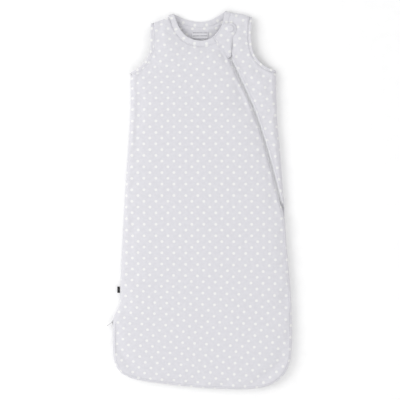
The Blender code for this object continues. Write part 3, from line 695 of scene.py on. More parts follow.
def new_mesh(name: str, verts: np.ndarray, faces: list, cloth: np.ndarray | None = None) -> bpy.types.Object:
    """A mesh object from arrays.

    Args:
        name: the piece's name.
        verts: one point in each row.
        faces: the corners of each face.
        cloth: the cloth map, one row for each point, or one for each corner of each face.

    Returns:
        The object, shaded smooth.
    """
    mesh = bpy.data.meshes.new(name)
    mesh.from_pydata(verts.tolist(), [], faces)
    if cloth is not None:
        layer = mesh.uv_layers.new(name="cloth")
        corners = np.zeros(len(mesh.loops), np.int32)
        mesh.loops.foreach_get("vertex_index", corners)
        flat = cloth[corners] if len(cloth) == len(verts) and len(cloth) != len(corners) else cloth
        layer.data.foreach_set("uv", np.ascontiguousarray(flat, np.float32).ravel())
    mesh.shade_smooth()
    obj = bpy.data.objects.new(name, mesh)
    bpy.context.scene.collection.objects.link(obj)
    return obj


def only(obj: bpy.types.Object) -> None:
    """Selects one object and nothing else."""
    for other in bpy.context.view_layer.objects:
        other.select_set(other is obj)
    bpy.context.view_layer.objects.active = obj


def only_none() -> None:
    """Deselects everything."""
    for other in bpy.context.view_layer.objects:
        other.select_set(False)


def face_out(obj: bpy.types.Object) -> None:
    """Turns an object's faces outwards."""
    work = bmesh.new()
    work.from_mesh(obj.data)
    bmesh.ops.recalc_face_normals(work, faces=work.faces)
    work.to_mesh(obj.data)
    work.free()


def apply(obj: bpy.types.Object, kind: str, **settings: object) -> None:
    """Adds a modifier and applies it."""
    only(obj)
    change = obj.modifiers.new(kind.title(), kind)
    for key, value in settings.items():
        setattr(change, key, value)
    bpy.ops.object.modifier_apply(modifier=change.name)


def subdivide(obj: bpy.types.Object, levels: int = 1) -> None:
    """Rounds a piece with subdivision surfaces."""
    apply(obj, "SUBSURF", levels=levels, render_levels=levels)


@dataclass
class Seamed:
    """What every piece of the bag shares: how it's dressed, the fold's height and how it's logged."""

    pattern: Pattern
    finishes: Finishes

    def dress(self, obj: bpy.types.Object, material: bpy.types.Material, slot: Slot) -> None:
        """Gives a piece its finish."""
        obj.data.materials.clear()
        obj.data.materials.append(material)

    def open_with_front(self, obj: bpy.types.Object) -> None:
        """Bakes a piece's placement into its mesh; the fold's frame is read but not used."""
        at, _, side = self.pattern.fold_frame()
        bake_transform(obj)

    @property
    def fold_height(self) -> float:
        """The height of the fold's axis."""
        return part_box("front_shell")[1].z

    def report(self, obj: bpy.types.Object) -> None:
        """Logs a finished piece."""
        LOG.info("%s: %d faces", obj.name, len(obj.data.polygons))


@dataclass
class Edge:
    """One edge of a padded piece: where it runs and how the two faces come down to it.

    The heights are functions of a flat place, because the line is cut to meet its neighbours first.
    """

    line: Line
    top: Callable[[Vector], float]
    bottom: Callable[[Vector], float]
    top_reach: float = 6 * MM
    bottom_reach: float = 9 * MM
    hold: float = 0.0
    lip: Callable[[Vector], float] | None = None


@dataclass
class Quilt(Seamed):
    """A padded panel: shell, wadding and lining as one closed form, shaped by its edges and then puffed."""

    name: str
    edges: list[Edge]
    top: float
    bottom: float
    cloth: Print
    crown: float = 2.5 * MM
    ripple: float = 0.32 * MM
    spacing: float = 8.5 * MM
    step: float = 5 * MM
    upside_down: bool = False
    rings: tuple = (0.7 * MM, 1.8 * MM, 3.4 * MM, 5.8 * MM, 9.5 * MM, 14.5 * MM)

    def outline(self) -> Line:
        """The closed outline, evenly spaced along each edge."""
        made: Line = []
        for edge in self.edges:
            for p in self.stations(edge.line):
                if not made or (p - made[-1]).length > 0.15 * self.step:
                    made.append(p)
        if (made[0] - made[-1]).length < 0.15 * self.step:
            made.pop()
        return made

    def stations(self, line: Line) -> Line:
        """Points along an edge without its last, keeping every sharp corner.

        Args:
            line: the edge.

        Returns:
            The points.
        """
        made: Line = []
        start = 0
        for i in range(1, len(line)):
            last = i == len(line) - 1
            if last or (line[i] - line[i - 1]).angle(line[i + 1] - line[i], 0.0) > 0.35:
                made += spaced(line[start : i + 1], self.step)[:-1]
                start = i
        return made

    def inside(self, where: np.ndarray, outline: np.ndarray) -> np.ndarray:
        """Which points lie inside the outline.

        Args:
            where: the points, one in each row.
            outline: the closed outline's points.

        Returns:
            True or False for each point.
        """
        x, y = where[:, 0:1], where[:, 1:2]
        a, b = outline, np.roll(outline, -1, 0)
        span = (a[:, 1] > y) != (b[:, 1] > y)
        rise = np.where(b[:, 1] == a[:, 1], 1e-12, b[:, 1] - a[:, 1])
        cross = (b[:, 0] - a[:, 0]) * (y - a[:, 1]) / rise + a[:, 0]
        return (span & (x < cross)).sum(1) % 2 == 1

    def sites(self, outline: Line) -> np.ndarray:
        """Points for the mesh: rings along the edge, then an even field.

        Args:
            outline: the closed outline.

        Returns:
            The points, the outline's first.
        """
        ring = np.array([p[:] for p in outline])
        closed = outline + [outline[0]]
        tangent = np.roll(ring, -1, 0) - np.roll(ring, 1, 0)
        tangent /= np.linalg.norm(tangent, axis=1)[:, None]
        inward = np.stack([-tangent[:, 1], tangent[:, 0]], 1)
        area = (ring[:, 0] * np.roll(ring[:, 1], -1) - np.roll(ring[:, 0], -1) * ring[:, 1]).sum()
        inward = inward if area > 0 else -inward
        made = []
        for k, distance in enumerate(self.rings):
            shift = (k % 2) * 0.5
            base = ring * (1 - shift) + np.roll(ring, -1, 0) * shift
            placed = base + inward * distance
            gap, _ = near_line(placed, closed)
            keep = (gap > 0.93 * distance) & self.inside(placed, ring)
            made.append(placed[keep])
        low, high = ring.min(0), ring.max(0)
        rows = np.arange(low[1], high[1], self.spacing * 0.866)
        field_points = []
        for j, y in enumerate(rows):
            xs = np.arange(low[0] + (j % 2) * self.spacing / 2, high[0], self.spacing)
            field_points.append(np.stack([xs, np.full(len(xs), y)], 1))
        grid = np.concatenate(field_points)
        gap, _ = near_line(grid, closed)
        made.append(grid[(gap > self.rings[-1] + 0.55 * self.spacing) & self.inside(grid, ring)])
        return np.concatenate([ring, *made])

    def heights(self, where: np.ndarray) -> tuple[np.ndarray, np.ndarray]:
        """The top and bottom of the panel at flat places.

        Args:
            where: the places, one in each row.

        Returns:
            The heights of the top, and those of the bottom.
        """
        x, y = where[:, 0] / MM, where[:, 1] / MM
        deep = np.full(len(where), 1e9)
        drops, lifts, falls = [], [], []
        lips = []
        for edge in self.edges:
            gap, place = near_line(where, edge.line)
            deep = np.minimum(deep, gap)
            stations = np.arange(len(edge.line))
            top = np.interp(place, stations, [edge.top(p) for p in edge.line])
            low = np.interp(place, stations, [edge.bottom(p) for p in edge.line])
            t = np.clip(gap / edge.top_reach, 0, 1)
            drops.append((top - self.top) * (1 - np.sqrt(1 - (1 - t) ** 2)))
            t = np.clip((gap - edge.hold) / edge.bottom_reach, 0, 1)
            move = (low - self.bottom) * (1 - t * t * (3 - 2 * t))
            lifts.append(np.maximum(move, 0))
            falls.append(np.minimum(move, 0))
            if edge.lip:
                lips.append((gap < 0.3 * MM, np.interp(place, stations, [edge.lip(p) for p in edge.line])))
        t = np.clip(deep / (70 * MM), 0, 1)
        wave = (np.sin(x / 31 + 1.3 * np.sin(y / 77)) * np.sin(y / 43 + 0.7 * np.sin(x / 59))
                + 0.6 * np.sin((x + 0.8 * y) / 23) * np.sin((y - 0.5 * x) / 61))
        rise = self.crown * (1 - (1 - t) ** 2) + wave * self.ripple * np.clip(deep / (25 * MM), 0, 1)
        top = self.top + np.min(drops, 0) + rise
        bottom = np.minimum(self.bottom + np.min(falls, 0) + np.max(lifts, 0), top - 0.6 * MM)
        for at_edge, lip in lips:
            bottom = np.where(at_edge, np.minimum(bottom, lip), bottom)
        return top, bottom

    def build(self) -> bpy.types.Object:
        """Makes the closed form, both faces on one layout of points."""
        outline = self.outline()
        sites = self.sites(outline)
        count = len(outline)
        rim = [(i, (i + 1) % count) for i in range(count)]
        places = [Vector(p) for p in sites]
        verts, _, faces, _, _, _ = delaunay_2d_cdt(places, rim, [list(range(count))], 1, 1e-7)
        flat = np.array([v[:] for v in verts])
        top, bottom = self.heights(flat)
        if self.upside_down:
            top, bottom = MIRROR - top, MIRROR - bottom
        size = len(flat)
        both = np.concatenate([np.column_stack([flat, top]), np.column_stack([flat, bottom])])
        skins = [list(f) for f in faces] + [[i + size for i in reversed(f)] for f in faces]
        edges: dict[tuple[int, int], int] = {}
        for f in faces:
            for a, b in zip(f, f[1:] + f[:1]):
                edges[(a, b)] = edges.get((a, b), 0) + 1
        wall = [[b, a, a + size, b + size] for (a, b) in edges if (b, a) not in edges]
        local = (flat - np.array(self.pattern.offset[:])) / MM
        cloth = self.cloth.repeats(local[:, 0], local[:, 1])
        obj = new_mesh(self.name, both, skins + wall, np.concatenate([cloth, cloth]))
        face_out(obj)
        pins = obj.vertex_groups.new(name="seams")
        gap, _ = near_line(both[:, :2], outline + [outline[0]])
        pins.add([int(i) for i in np.flatnonzero(gap < 2.6 * MM)], 1.0, "REPLACE")
        return obj

    def puff(self, obj: bpy.types.Object, cap: float, frames: int = 18, floor: float | None = None) -> None:
        """Lets the cloth swell and crease between its seams, and keeps how far it moves within a cap.

        Args:
            obj: the panel.
            cap: the furthest that a point may move.
            frames: how long the cloth moves.
            floor: the height that the panel may not go under.
        """
        before = np.zeros(len(obj.data.vertices) * 3)
        obj.data.vertices.foreach_get("co", before)
        before = before.reshape(-1, 3)
        after = before.copy()
        scene = bpy.context.scene
        only(obj)
        cloth = obj.modifiers.new("Cloth", "CLOTH")
        cloth.settings.quality = 4
        cloth.settings.mass = 0.2
        cloth.settings.use_pressure = True
        cloth.settings.uniform_pressure_force = 2.2
        cloth.settings.effector_weights.gravity = 0.0
        cloth.settings.tension_stiffness = 12
        cloth.settings.compression_stiffness = 12
        cloth.settings.bending_stiffness = 0.35
        cloth.settings.shrink_min = -0.022
        cloth.settings.vertex_group_mass = "seams"
        cloth.point_cache.frame_start = 1
        cloth.point_cache.frame_end = frames
        for frame in range(1, frames + 1):
            scene.frame_set(frame)
        graph = bpy.context.evaluated_depsgraph_get()
        moved = obj.evaluated_get(graph).to_mesh()
        moved.vertices.foreach_get("co", after.reshape(-1))
        after = after.reshape(-1, 3)
        obj.modifiers.remove(cloth)
        scene.frame_set(1)
        move = after - before
        far = np.maximum(np.linalg.norm(move, axis=1), 1e-9)[:, None]
        move *= cap * np.tanh(far / cap) / far
        placed = before + move
        if floor is not None:
            placed[:, 2] = np.maximum(placed[:, 2], floor)
        obj.data.vertices.foreach_set("co", placed.ravel())
        obj.data.update()
        obj.vertex_groups.clear()

    def press(self, obj: bpy.types.Object, under: Line, level: float, slope: float = 0.3) -> None:
        """Keeps the top of the panel down where something lies on it.

        Args:
            obj: the panel.
            under: the outline of what lies on it.
            level: the height it may reach there.
            slope: how fast it may rise again away from there.
        """
        places = np.zeros(len(obj.data.vertices) * 3)
        obj.data.vertices.foreach_get("co", places)
        places = places.reshape(-1, 3)
        ring = under + [under[0]]
        gap, _ = near_line(places[:, :2], ring)
        gap[self.inside(places[:, :2], np.array([p[:] for p in under]))] = 0.0
        places[:, 2] = np.minimum(places[:, 2], level + gap * slope)
        obj.data.vertices.foreach_set("co", places.ravel())
        obj.data.update()


# ------------------------------------------------------------------ swept cloth and stitches


def sweep(name: str, sections: list[Section], closed: bool = False) -> bpy.types.Object:
    """A strip or tube through rings of points, with the cloth map along and round it.

    Args:
        name: the piece's name.
        sections: the rings, all with the same number of points.
        closed: joins the last ring to the first.

    Returns:
        The object, closed at its ends.
    """
    rows, size = len(sections), len(sections[0])
    along, round_it = [0.0], [0.0]
    for a, b in zip(sections, sections[1:] + sections[:1]):
        along.append(along[-1] + sum(((q - p).length for p, q in zip(a, b)), 0.0) / size / REPEAT)
    middle = sections[rows // 2]
    for p, q in zip(middle, middle[1:] + middle[:1]):
        round_it.append(round_it[-1] + (q - p).length / REPEAT)
    faces, cloth = [], []
    for i in range(rows if closed else rows - 1):
        k = (i + 1) % rows
        for j in range(size):
            n = (j + 1) % size
            faces.append([i * size + j, k * size + j, k * size + n, i * size + n])
            cloth += [(along[i], round_it[j]), (along[i + 1], round_it[j]),
                      (along[i + 1], round_it[j + 1]), (along[i], round_it[j + 1])]
    if not closed:
        for i in (0, rows - 1):
            faces.append([i * size + j for j in range(size)])
            cloth += [(along[i], round_it[j]) for j in range(size)]
    verts = np.array([p[:] for section in sections for p in section])
    obj = new_mesh(name, verts, faces, np.array(cloth))
    face_out(obj)
    return obj


def rounded(low: float, high: float, half: float, steps: int, flats: int) -> list[tuple[float, float]]:
    """A flat section with round edges, as (across, through) pairs.

    Args:
        low: where it starts.
        high: where it ends.
        half: half its thickness.
        steps: the faces round each end.
        flats: the faces along each side.

    Returns:
        The pairs, in order round it.
    """
    made = []
    for centre, turn in ((high - half, -90), (low + half, 90)):
        for k in range(steps + 1):
            angle = math.radians(turn + 180 * k / steps)
            made.append((centre + half * math.cos(angle), half * math.sin(angle)))
        for k in range(1, flats):
            t = k / flats
            start, stop = (high - half, low + half) if turn < 0 else (low + half, high - half)
            made.append((start + (stop - start) * t, half if turn < 0 else -half))
    return made


def strip(path: list[Vector], wides: list[Vector], section: list[tuple[float, float]], closed: bool = False,
          ) -> list[Section]:
    """Rings along a path. A section's first number goes along the width direction, its second up.

    Args:
        path: the places of the rings.
        wides: the width direction at each.
        section: the ring's own points.
        closed: the path comes back to its start.

    Returns:
        The rings.
    """
    made = []
    count = len(path)
    for i, (at, wide) in enumerate(zip(path, wides)):
        before = path[(i - 1) % count] if closed else path[max(i - 1, 0)]
        after = path[(i + 1) % count] if closed else path[min(i + 1, count - 1)]
        tangent = (after - before).normalized()
        across = (wide - tangent * wide.dot(tangent)).normalized()
        up = across.cross(tangent)
        made.append([at + across * a + up * b for a, b in section])
    return made


@dataclass
class Surface:
    """The top of some pieces, so that a row of stitches can lie on it."""

    trees: list[BVHTree]

    @staticmethod
    def of(*pieces: bpy.types.Object) -> Surface:
        """The surface of these pieces.

        Args:
            pieces: the pieces.

        Returns:
            Their surface.
        """
        made = []
        for obj in pieces:
            verts = [v.co.copy() for v in obj.data.vertices]
            made.append(BVHTree.FromPolygons(verts, [tuple(p.vertices) for p in obj.data.polygons]))
        return Surface(made)

    def over(self, line: Line, lift: float = 0.0) -> list[Vector]:
        """The places of a flat line on the surface, seen from above.

        Args:
            line: the flat line.
            lift: how far above the surface.

        Returns:
            The places that have some of the surface under them.
        """
        made = []
        for p in line:
            hits = [tree.ray_cast(Vector((p.x, p.y, 1)), Vector((0, 0, -1)))[0] for tree in self.trees]
            heights = [hit.z for hit in hits if hit is not None]
            if heights:
                made.append(Vector((p.x, p.y, max(heights) + lift)))
        return made


@dataclass
class StitchRow(Seamed):
    """A row of lockstitches in thread, each one a small pillow that dips into the cloth at both ends."""

    length: float = 2.6 * MM
    pause: float = 0.9 * MM
    half: float = 0.34 * MM

    def make(self, name: str, path: list[Vector],
             material: bpy.types.Material | None = None) -> bpy.types.Object:
        """Sews a row along a path on the cloth.

        Args:
            name: the piece's name.
            path: the places it is sewn along.
            material: its thread, if not the usual one.

        Returns:
            The piece.
        """
        fine = lengths(path)
        verts, faces = [], []
        count = int((fine[-1] + self.pause) / (self.length + self.pause))
        first = (fine[-1] + self.pause - count * (self.length + self.pause)) / 2
        for k in range(count):
            s = first + k * (self.length + self.pause)
            ends = [self.at(path, fine, s + self.length * t) for t in (0.0, 0.25, 0.75, 1.0)]
            tangent = (ends[-1] - ends[0]).normalized()
            side = tangent.cross(Vector((0, 0, 1))).normalized()
            up = side.cross(tangent)
            base = len(verts)
            for at, share, dip in zip(ends, (0.45, 1.0, 1.0, 0.45), (-0.25, 0.0, 0.0, -0.25)):
                centre = at + up * dip * MM
                for a, b in ((1, 0), (0.5, 0.9), (-0.5, 0.9), (-1, 0), (0, -0.8)):
                    verts.append((centre + side * (a * share * self.half) + up * (b * share * self.half))[:])
            for r in range(3):
                first_of_ring = base + r * 5
                for j in range(5):
                    n = (j + 1) % 5
                    faces.append([first_of_ring + j, first_of_ring + n, first_of_ring + 5 + n,
                                  first_of_ring + 5 + j])
            faces += [[base + j for j in range(5)], [base + 15 + j for j in range(5)]]
        obj = new_mesh(name, np.array(verts), faces)
        face_out(obj)
        # The usual thread's darker colour is painted shade for the groove along the sewn edge.
        self.dress(obj, material or self.finishes.thread, Slot.KNIT)
        return obj

    @staticmethod
    def at(path: list[Vector], total: list[float], wanted: float) -> Vector:
        """The place at a distance along a path.

        Args:
            path: the path.
            total: the distance along it at each of its points.
            wanted: the distance.

        Returns:
            The place.
        """
        k = min(max(int(np.searchsorted(total, wanted)) - 1, 0), len(path) - 2)
        span = total[k + 1] - total[k]
        return path[k].lerp(path[k + 1], (wanted - total[k]) / span if span else 0.0)


# ------------------------------------------------------------------ the padded bag


@dataclass
class PaddedBag(Seamed):
    """The three padded panels and the seams that join them."""

    seam_top: float = 11.2 * MM
    seam_bottom: float = 10.45 * MM
    mouth: float = 34 * MM
    half_gap: float = 7.8 * MM
    lap: float = 0.7 * MM
    zip_side: float = 3.9 * MM
    under_flap: float = 21.0 * MM
    front: bpy.types.Object = field(init=False)
    right: bpy.types.Object = field(init=False)
    back: bpy.types.Object = field(init=False)

    def mouth_height(self, line: Line, both_ends: bool, place: Vector) -> float:
        """How far above the seam the edge of a neck or armhole stands. It closes at its seamed ends.

        Args:
            line: the edge.
            both_ends: it has a seam at both ends, and not only at its first.
            place: a flat place by it.

        Returns:
            The height.
        """
        _, at = near_line(np.array([place[:2]]), line)
        along = lengths(line)
        s = float(np.interp(at[0], np.arange(len(line)), along))
        s = min(s, along[-1] - s) if both_ends else s
        t = min(1.0, max(0.0, s / self.mouth))
        return self.half_gap * math.sqrt(1 - (1 - t) ** 2)

    def seam_edge(self, line: Line, reach: float = 10 * MM) -> Edge:
        """An edge sewn to the other side of the bag."""
        return Edge(line, lambda p: self.seam_top, lambda p: self.seam_bottom, reach, 12 * MM)

    def mouth_edge(self, line: Line, whole: Line, both_ends: bool) -> Edge:
        """An edge bound with a band.

        Args:
            line: where the panel ends, under the band.
            whole: the opening's own edge.
            both_ends: it has a seam at both ends.

        Returns:
            The edge.
        """
        middle = self.pattern.rim_height

        def level(p: Vector) -> float:
            """How high the edge stands."""
            return middle + self.mouth_height(whole, both_ends, p)

        return Edge(line, lambda p: level(p) + 1.0 * MM, lambda p: level(p) - 1.3 * MM, 5 * MM, 8 * MM)

    def twist_at(self, place: Vector) -> float:
        """How far the zip has turned beside a place."""
        _, at = near_line(np.array([place[:2]]), self.pattern.zip)
        return float(np.interp(at[0], np.arange(len(self.pattern.zip)), self.pattern.twists))

    def zip_edge(self, line: Line) -> Edge:
        """An edge rolled over the zip's tape.

        Args:
            line: where it runs.

        Returns:
            The edge.
        """
        high, fall = self.pattern.zip_height, self.pattern.zip_height - self.pattern.rim_height

        def turn(p: Vector) -> float:
            """How far the zip has turned down, from 0 to 1."""
            return math.sin(self.twist_at(p))

        def bottom(p: Vector) -> float:
            """The lining's height, just above the tape."""
            return high - fall * turn(p) + (0.45 + 5.0 * turn(p)) * MM

        def lip(p: Vector) -> float:
            """The underside of the edge itself, which is under the lining where the zip turns over."""
            return high - fall * turn(p) + (0.45 + 3.45 * turn(p)) * MM

        return Edge(line, lambda p: (18.9 - 2.6 * turn(p)) * MM, bottom, 5 * MM, 8 * MM, 5.5 * MM, lip)

    def rim_edge(self, line: Line) -> Edge:
        """The back's edge beside the zip, which is a plain seam until the zip has come out to the rim.

        Args:
            line: where it runs.

        Returns:
            The edge.
        """
        top = self.pattern.left_rim[0]

        def turn(p: Vector) -> float:
            """How far the seam has opened for the zip, from 0 to 1."""
            opened = smooth((top.y + 1 * MM - p.y) / (6 * MM)) if p.x < 0 else 1.0
            return smooth((math.sin(self.twist_at(p)) - 0.55) / 0.45) * opened

        def between(low: float, high: float) -> Callable[[Vector], float]:
            """A height that goes from one level to another as the seam opens."""
            return lambda p: (low + (high - low) * turn(p)) * MM

        return Edge(line, between(11.2, 16.3), between(10.45, 15.9), 7 * MM, 8 * MM, 4 * MM,
                    between(10.45, 14.35))

    def panel(self, name: str, edges: list[Edge], cloth: Print, **settings: object) -> Quilt:
        """A padded panel whose edges meet at its corners.

        Args:
            name: its name.
            edges: its edges, in order round it.
            cloth: how the print lies on it.
            settings: other fields of the quilt.

        Returns:
            The panel, ready to build.
        """
        for edge, line in zip(edges, closed_edges([edge.line for edge in edges])):
            edge.line = line
        return Quilt(self.pattern, self.finishes, name, edges, self.fold_height, self.fold_height - 5.4 * MM,
                     cloth, **settings)

    def finish_panel(self, obj: bpy.types.Object, fill: float) -> None:
        """Rounds, dresses and logs a panel.

        Args:
            obj: the panel.
            fill: not used.
        """
        subdivide(obj)
        self.dress(obj, self.finishes.knit, Slot.KNIT)
        self.report(obj)

    def build(self) -> None:
        """Makes the three panels and the seams."""
        p = self.pattern
        neck, arm = p.neck_band - self.lap, p.arm_band - self.lap
        back_side = list(reversed(p.left_side))
        quilt = self.panel("front_quilt", [
            self.mouth_edge(shifted(p.front_neck, neck), p.front_neck, False),
            self.zip_edge(p.edge_by_zip(self.zip_side)),
            self.seam_edge(back_side),
            self.mouth_edge(shifted(list(reversed(p.left_armhole)), arm), p.left_armhole, True),
            self.seam_edge(list(reversed(p.left_shoulder)), 8 * MM)], Print.FRONT)
        self.front = quilt.build()
        quilt.puff(self.front, 3.0 * MM)
        quilt.press(self.front, SnapFlap.loop(p), self.under_flap)
        self.finish_panel(self.front, 0.4)
        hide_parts("front_shell", "front_padding", "front_lining", "front_shell_left",
                    "front_padding_left", "front_lining_left")
        self.open_with_front(self.front)

        by_zip = [q for q in shifted(p.zip, -self.zip_side) if q.y > -60 * MM]
        right_neck = list(reversed(p.right_neck))
        quilt = self.panel("right_quilt", [
            self.seam_edge(p.right_side),
            self.mouth_edge(shifted(p.right_armhole, -arm), p.right_armhole, True),
            self.seam_edge(p.right_shoulder, 8 * MM),
            self.mouth_edge(shifted(right_neck, -neck), right_neck, False),
            self.zip_edge(by_zip)], Print.RIGHT, crown=1.6 * MM)
        self.right = quilt.build()
        quilt.puff(self.right, 2.4 * MM)
        quilt.press(self.right, SnapFlap.loop(p), self.under_flap)
        self.finish_panel(self.right, 0.4)
        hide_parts("right_panel_shell", "right_panel_padding", "right_panel_lining")
        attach(self.right, Body.BAG.value)

        rim = p.left_side[-2:] + p.left_rim[1:] + p.hem[1:] + p.right_side[1:20]
        quilt = self.panel("back_quilt", [
            self.seam_edge(p.left_shoulder, 8 * MM),
            self.mouth_edge(shifted(p.left_armhole, -arm), p.left_armhole, True),
            self.seam_edge(p.left_side[:-1]), self.rim_edge(rim), self.seam_edge(p.right_side[19:]),
            self.mouth_edge(shifted(p.right_armhole, -arm), p.right_armhole, True),
            self.seam_edge(p.right_shoulder, 8 * MM),
            self.mouth_edge(shifted(p.back_neck, -neck), p.back_neck, True)],
            Print.BACK, crown=0.0, ripple=0.0, upside_down=True)
        self.back = quilt.build()
        quilt.puff(self.back, 0.8 * MM, floor=0.0)
        self.finish_panel(self.back, 0.3)
        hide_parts("back_shell", "back_padding", "back_lining")
        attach(self.back, Body.BAG.value)
        self.seams()

    def seams(self) -> None:
        """The four seams, each a fine welt along the outline."""
        p = self.pattern
        merge = next(i for i, q in enumerate(p.right_side) if q.y > -12 * MM)
        for name, line in (("left_shoulder_seam", p.left_shoulder),
                           ("right_shoulder_seam", p.right_shoulder),
                           ("left_side_seam", p.left_side),
                           ("right_side_seam", p.right_side[merge:])):
            inner = part_of(line, 2 * MM, 2 * MM, 4 * MM)
            path = [Vector((q.x, q.y, p.rim_height)) for q in shifted(inner, -0.4 * MM)]
            ring = [(0.55 * MM * math.cos(a), 0.8 * MM * math.sin(a))
                    for a in (2 * math.pi * k / 8 for k in range(8))]
            wides = [Vector((n.x, n.y, 0)) for n in normals(inner)]
            obj = sweep(name + "_welt", strip(path, wides, ring))
            self.dress(obj, self.finishes.knit, Slot.KNIT)
            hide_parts(name)
            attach(obj, Body.BAG.value)
            self.report(obj)


@dataclass
class Bindings(Seamed):
    """The band round the neck, in three pieces, and the binding round each armhole."""

    bag: PaddedBag
    neck_half: float = 1.6 * MM
    arm_half: float = 1.3 * MM
    ring_step: float = 4 * MM
    by_flap: float = 11.5 * MM
    beside: float = 2.2 * MM
    stitch_step: float = 1.5 * MM
    lift: float = 0.1 * MM

    def band(self, name: str, line: Line, whole: Line, both_ends: bool, below: bool) -> bpy.types.Object:
        """One piece of the neck band.

        Args:
            name: the piece's name.
            line: the neck's edge, with the bag on its left.
            whole: the neck's edge from its seamed end.
            both_ends: the band comes down to a seam at both ends.
            below: the band is on the back of the bag.

        Returns:
            The piece.
        """
        p, sign = self.pattern, -1 if below else 1
        levels = [p.rim_height + sign * self.bag.mouth_height(whole, both_ends, q) for q in line]
        path = [Vector((q.x, q.y, level)) for q, level in zip(line, levels)]
        wides = [Vector((-n.x, -n.y, 0)) for n in normals(line)]
        obj = sweep(name, strip(path, wides, rounded(0.0, p.neck_band, self.neck_half, 6, 5)))
        self.dress(obj, self.finishes.knit, Slot.KNIT)
        self.report(obj)
        return obj

    def armhole(self, side: str, line: Line) -> None:
        """The binding round an armhole: over the front edge and back along the back edge.

        Args:
            side: left or right.
            line: the armhole's edge.
        """
        p = self.pattern
        fine = spaced(line, self.ring_step)
        inward = [Vector((-n.x, -n.y, 0)) for n in normals(fine)]
        levels = [self.bag.mouth_height(line, True, q) for q in fine]
        path = [Vector((q.x, q.y, p.rim_height + h)) for q, h in zip(fine, levels)]
        path += [Vector((q.x, q.y, p.rim_height - h)) for q, h in reversed(list(zip(fine, levels))[1:-1])]
        wides = inward + list(reversed(inward[1:-1]))
        section = rounded(0.0, p.arm_band, self.arm_half, 6, 3)
        obj = sweep(side + "_armhole_binding", strip(path, wides, section, True), closed=True)
        self.dress(obj, self.finishes.knit, Slot.KNIT)
        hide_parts(side + "_armhole_band")
        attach(obj, Body.BAG.value)
        self.report(obj)

    def build(self) -> None:
        """Makes the bands, the bindings and their topstitching."""
        p = self.pattern
        back = spaced(p.back_neck, self.ring_step)
        obj = self.band("back_neck_rib", back, p.back_neck, True, True)
        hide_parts("back_neck_band")
        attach(obj, Body.BAG.value)
        front = list(reversed(part_of(p.front_neck, 0.0, self.by_flap, self.ring_step)))
        obj = self.band("front_neck_rib", front, p.front_neck, False, False)
        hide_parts("front_neck_band")
        self.open_with_front(obj)
        right = list(reversed(part_of(p.right_neck, self.by_flap, 0.0, self.ring_step)))
        obj = self.band("right_neck_rib", right, list(reversed(p.right_neck)), False, False)
        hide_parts("right_neck_band")
        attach(obj, Body.BAG.value)
        for side, line in (("left", p.left_armhole), ("right", p.right_armhole)):
            self.armhole(side, line)
        sewing = StitchRow(p, self.finishes)
        beside = p.neck_band + self.beside
        front_line = part_of(shifted(p.front_neck, beside), 6 * MM, 8 * MM, self.stitch_step)
        obj = sewing.make("front_neck_stitches", Surface.of(self.bag.front).over(front_line, self.lift))
        self.open_with_front(obj)
        right_neck = shifted(list(reversed(p.right_neck)), -beside)
        right_line = part_of(right_neck, 6 * MM, 6 * MM, self.stitch_step)
        obj = sewing.make("right_neck_stitches", Surface.of(self.bag.right).over(right_line, self.lift))
        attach(obj, Body.BAG.value)
        for side, line, quilt in (("left", p.left_armhole, self.bag.front),
                                  ("right", p.right_armhole, self.bag.right)):
            row = part_of(shifted(line, -p.arm_band - 2 * MM), 6 * MM, 6 * MM, self.stitch_step)
            obj = sewing.make(side + "_armhole_stitches", Surface.of(quilt).over(row, self.lift))
            if side == "left":
                self.open_with_front(obj)
            else:
                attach(obj, Body.BAG.value)


# ------------------------------------------------------------------ the zip


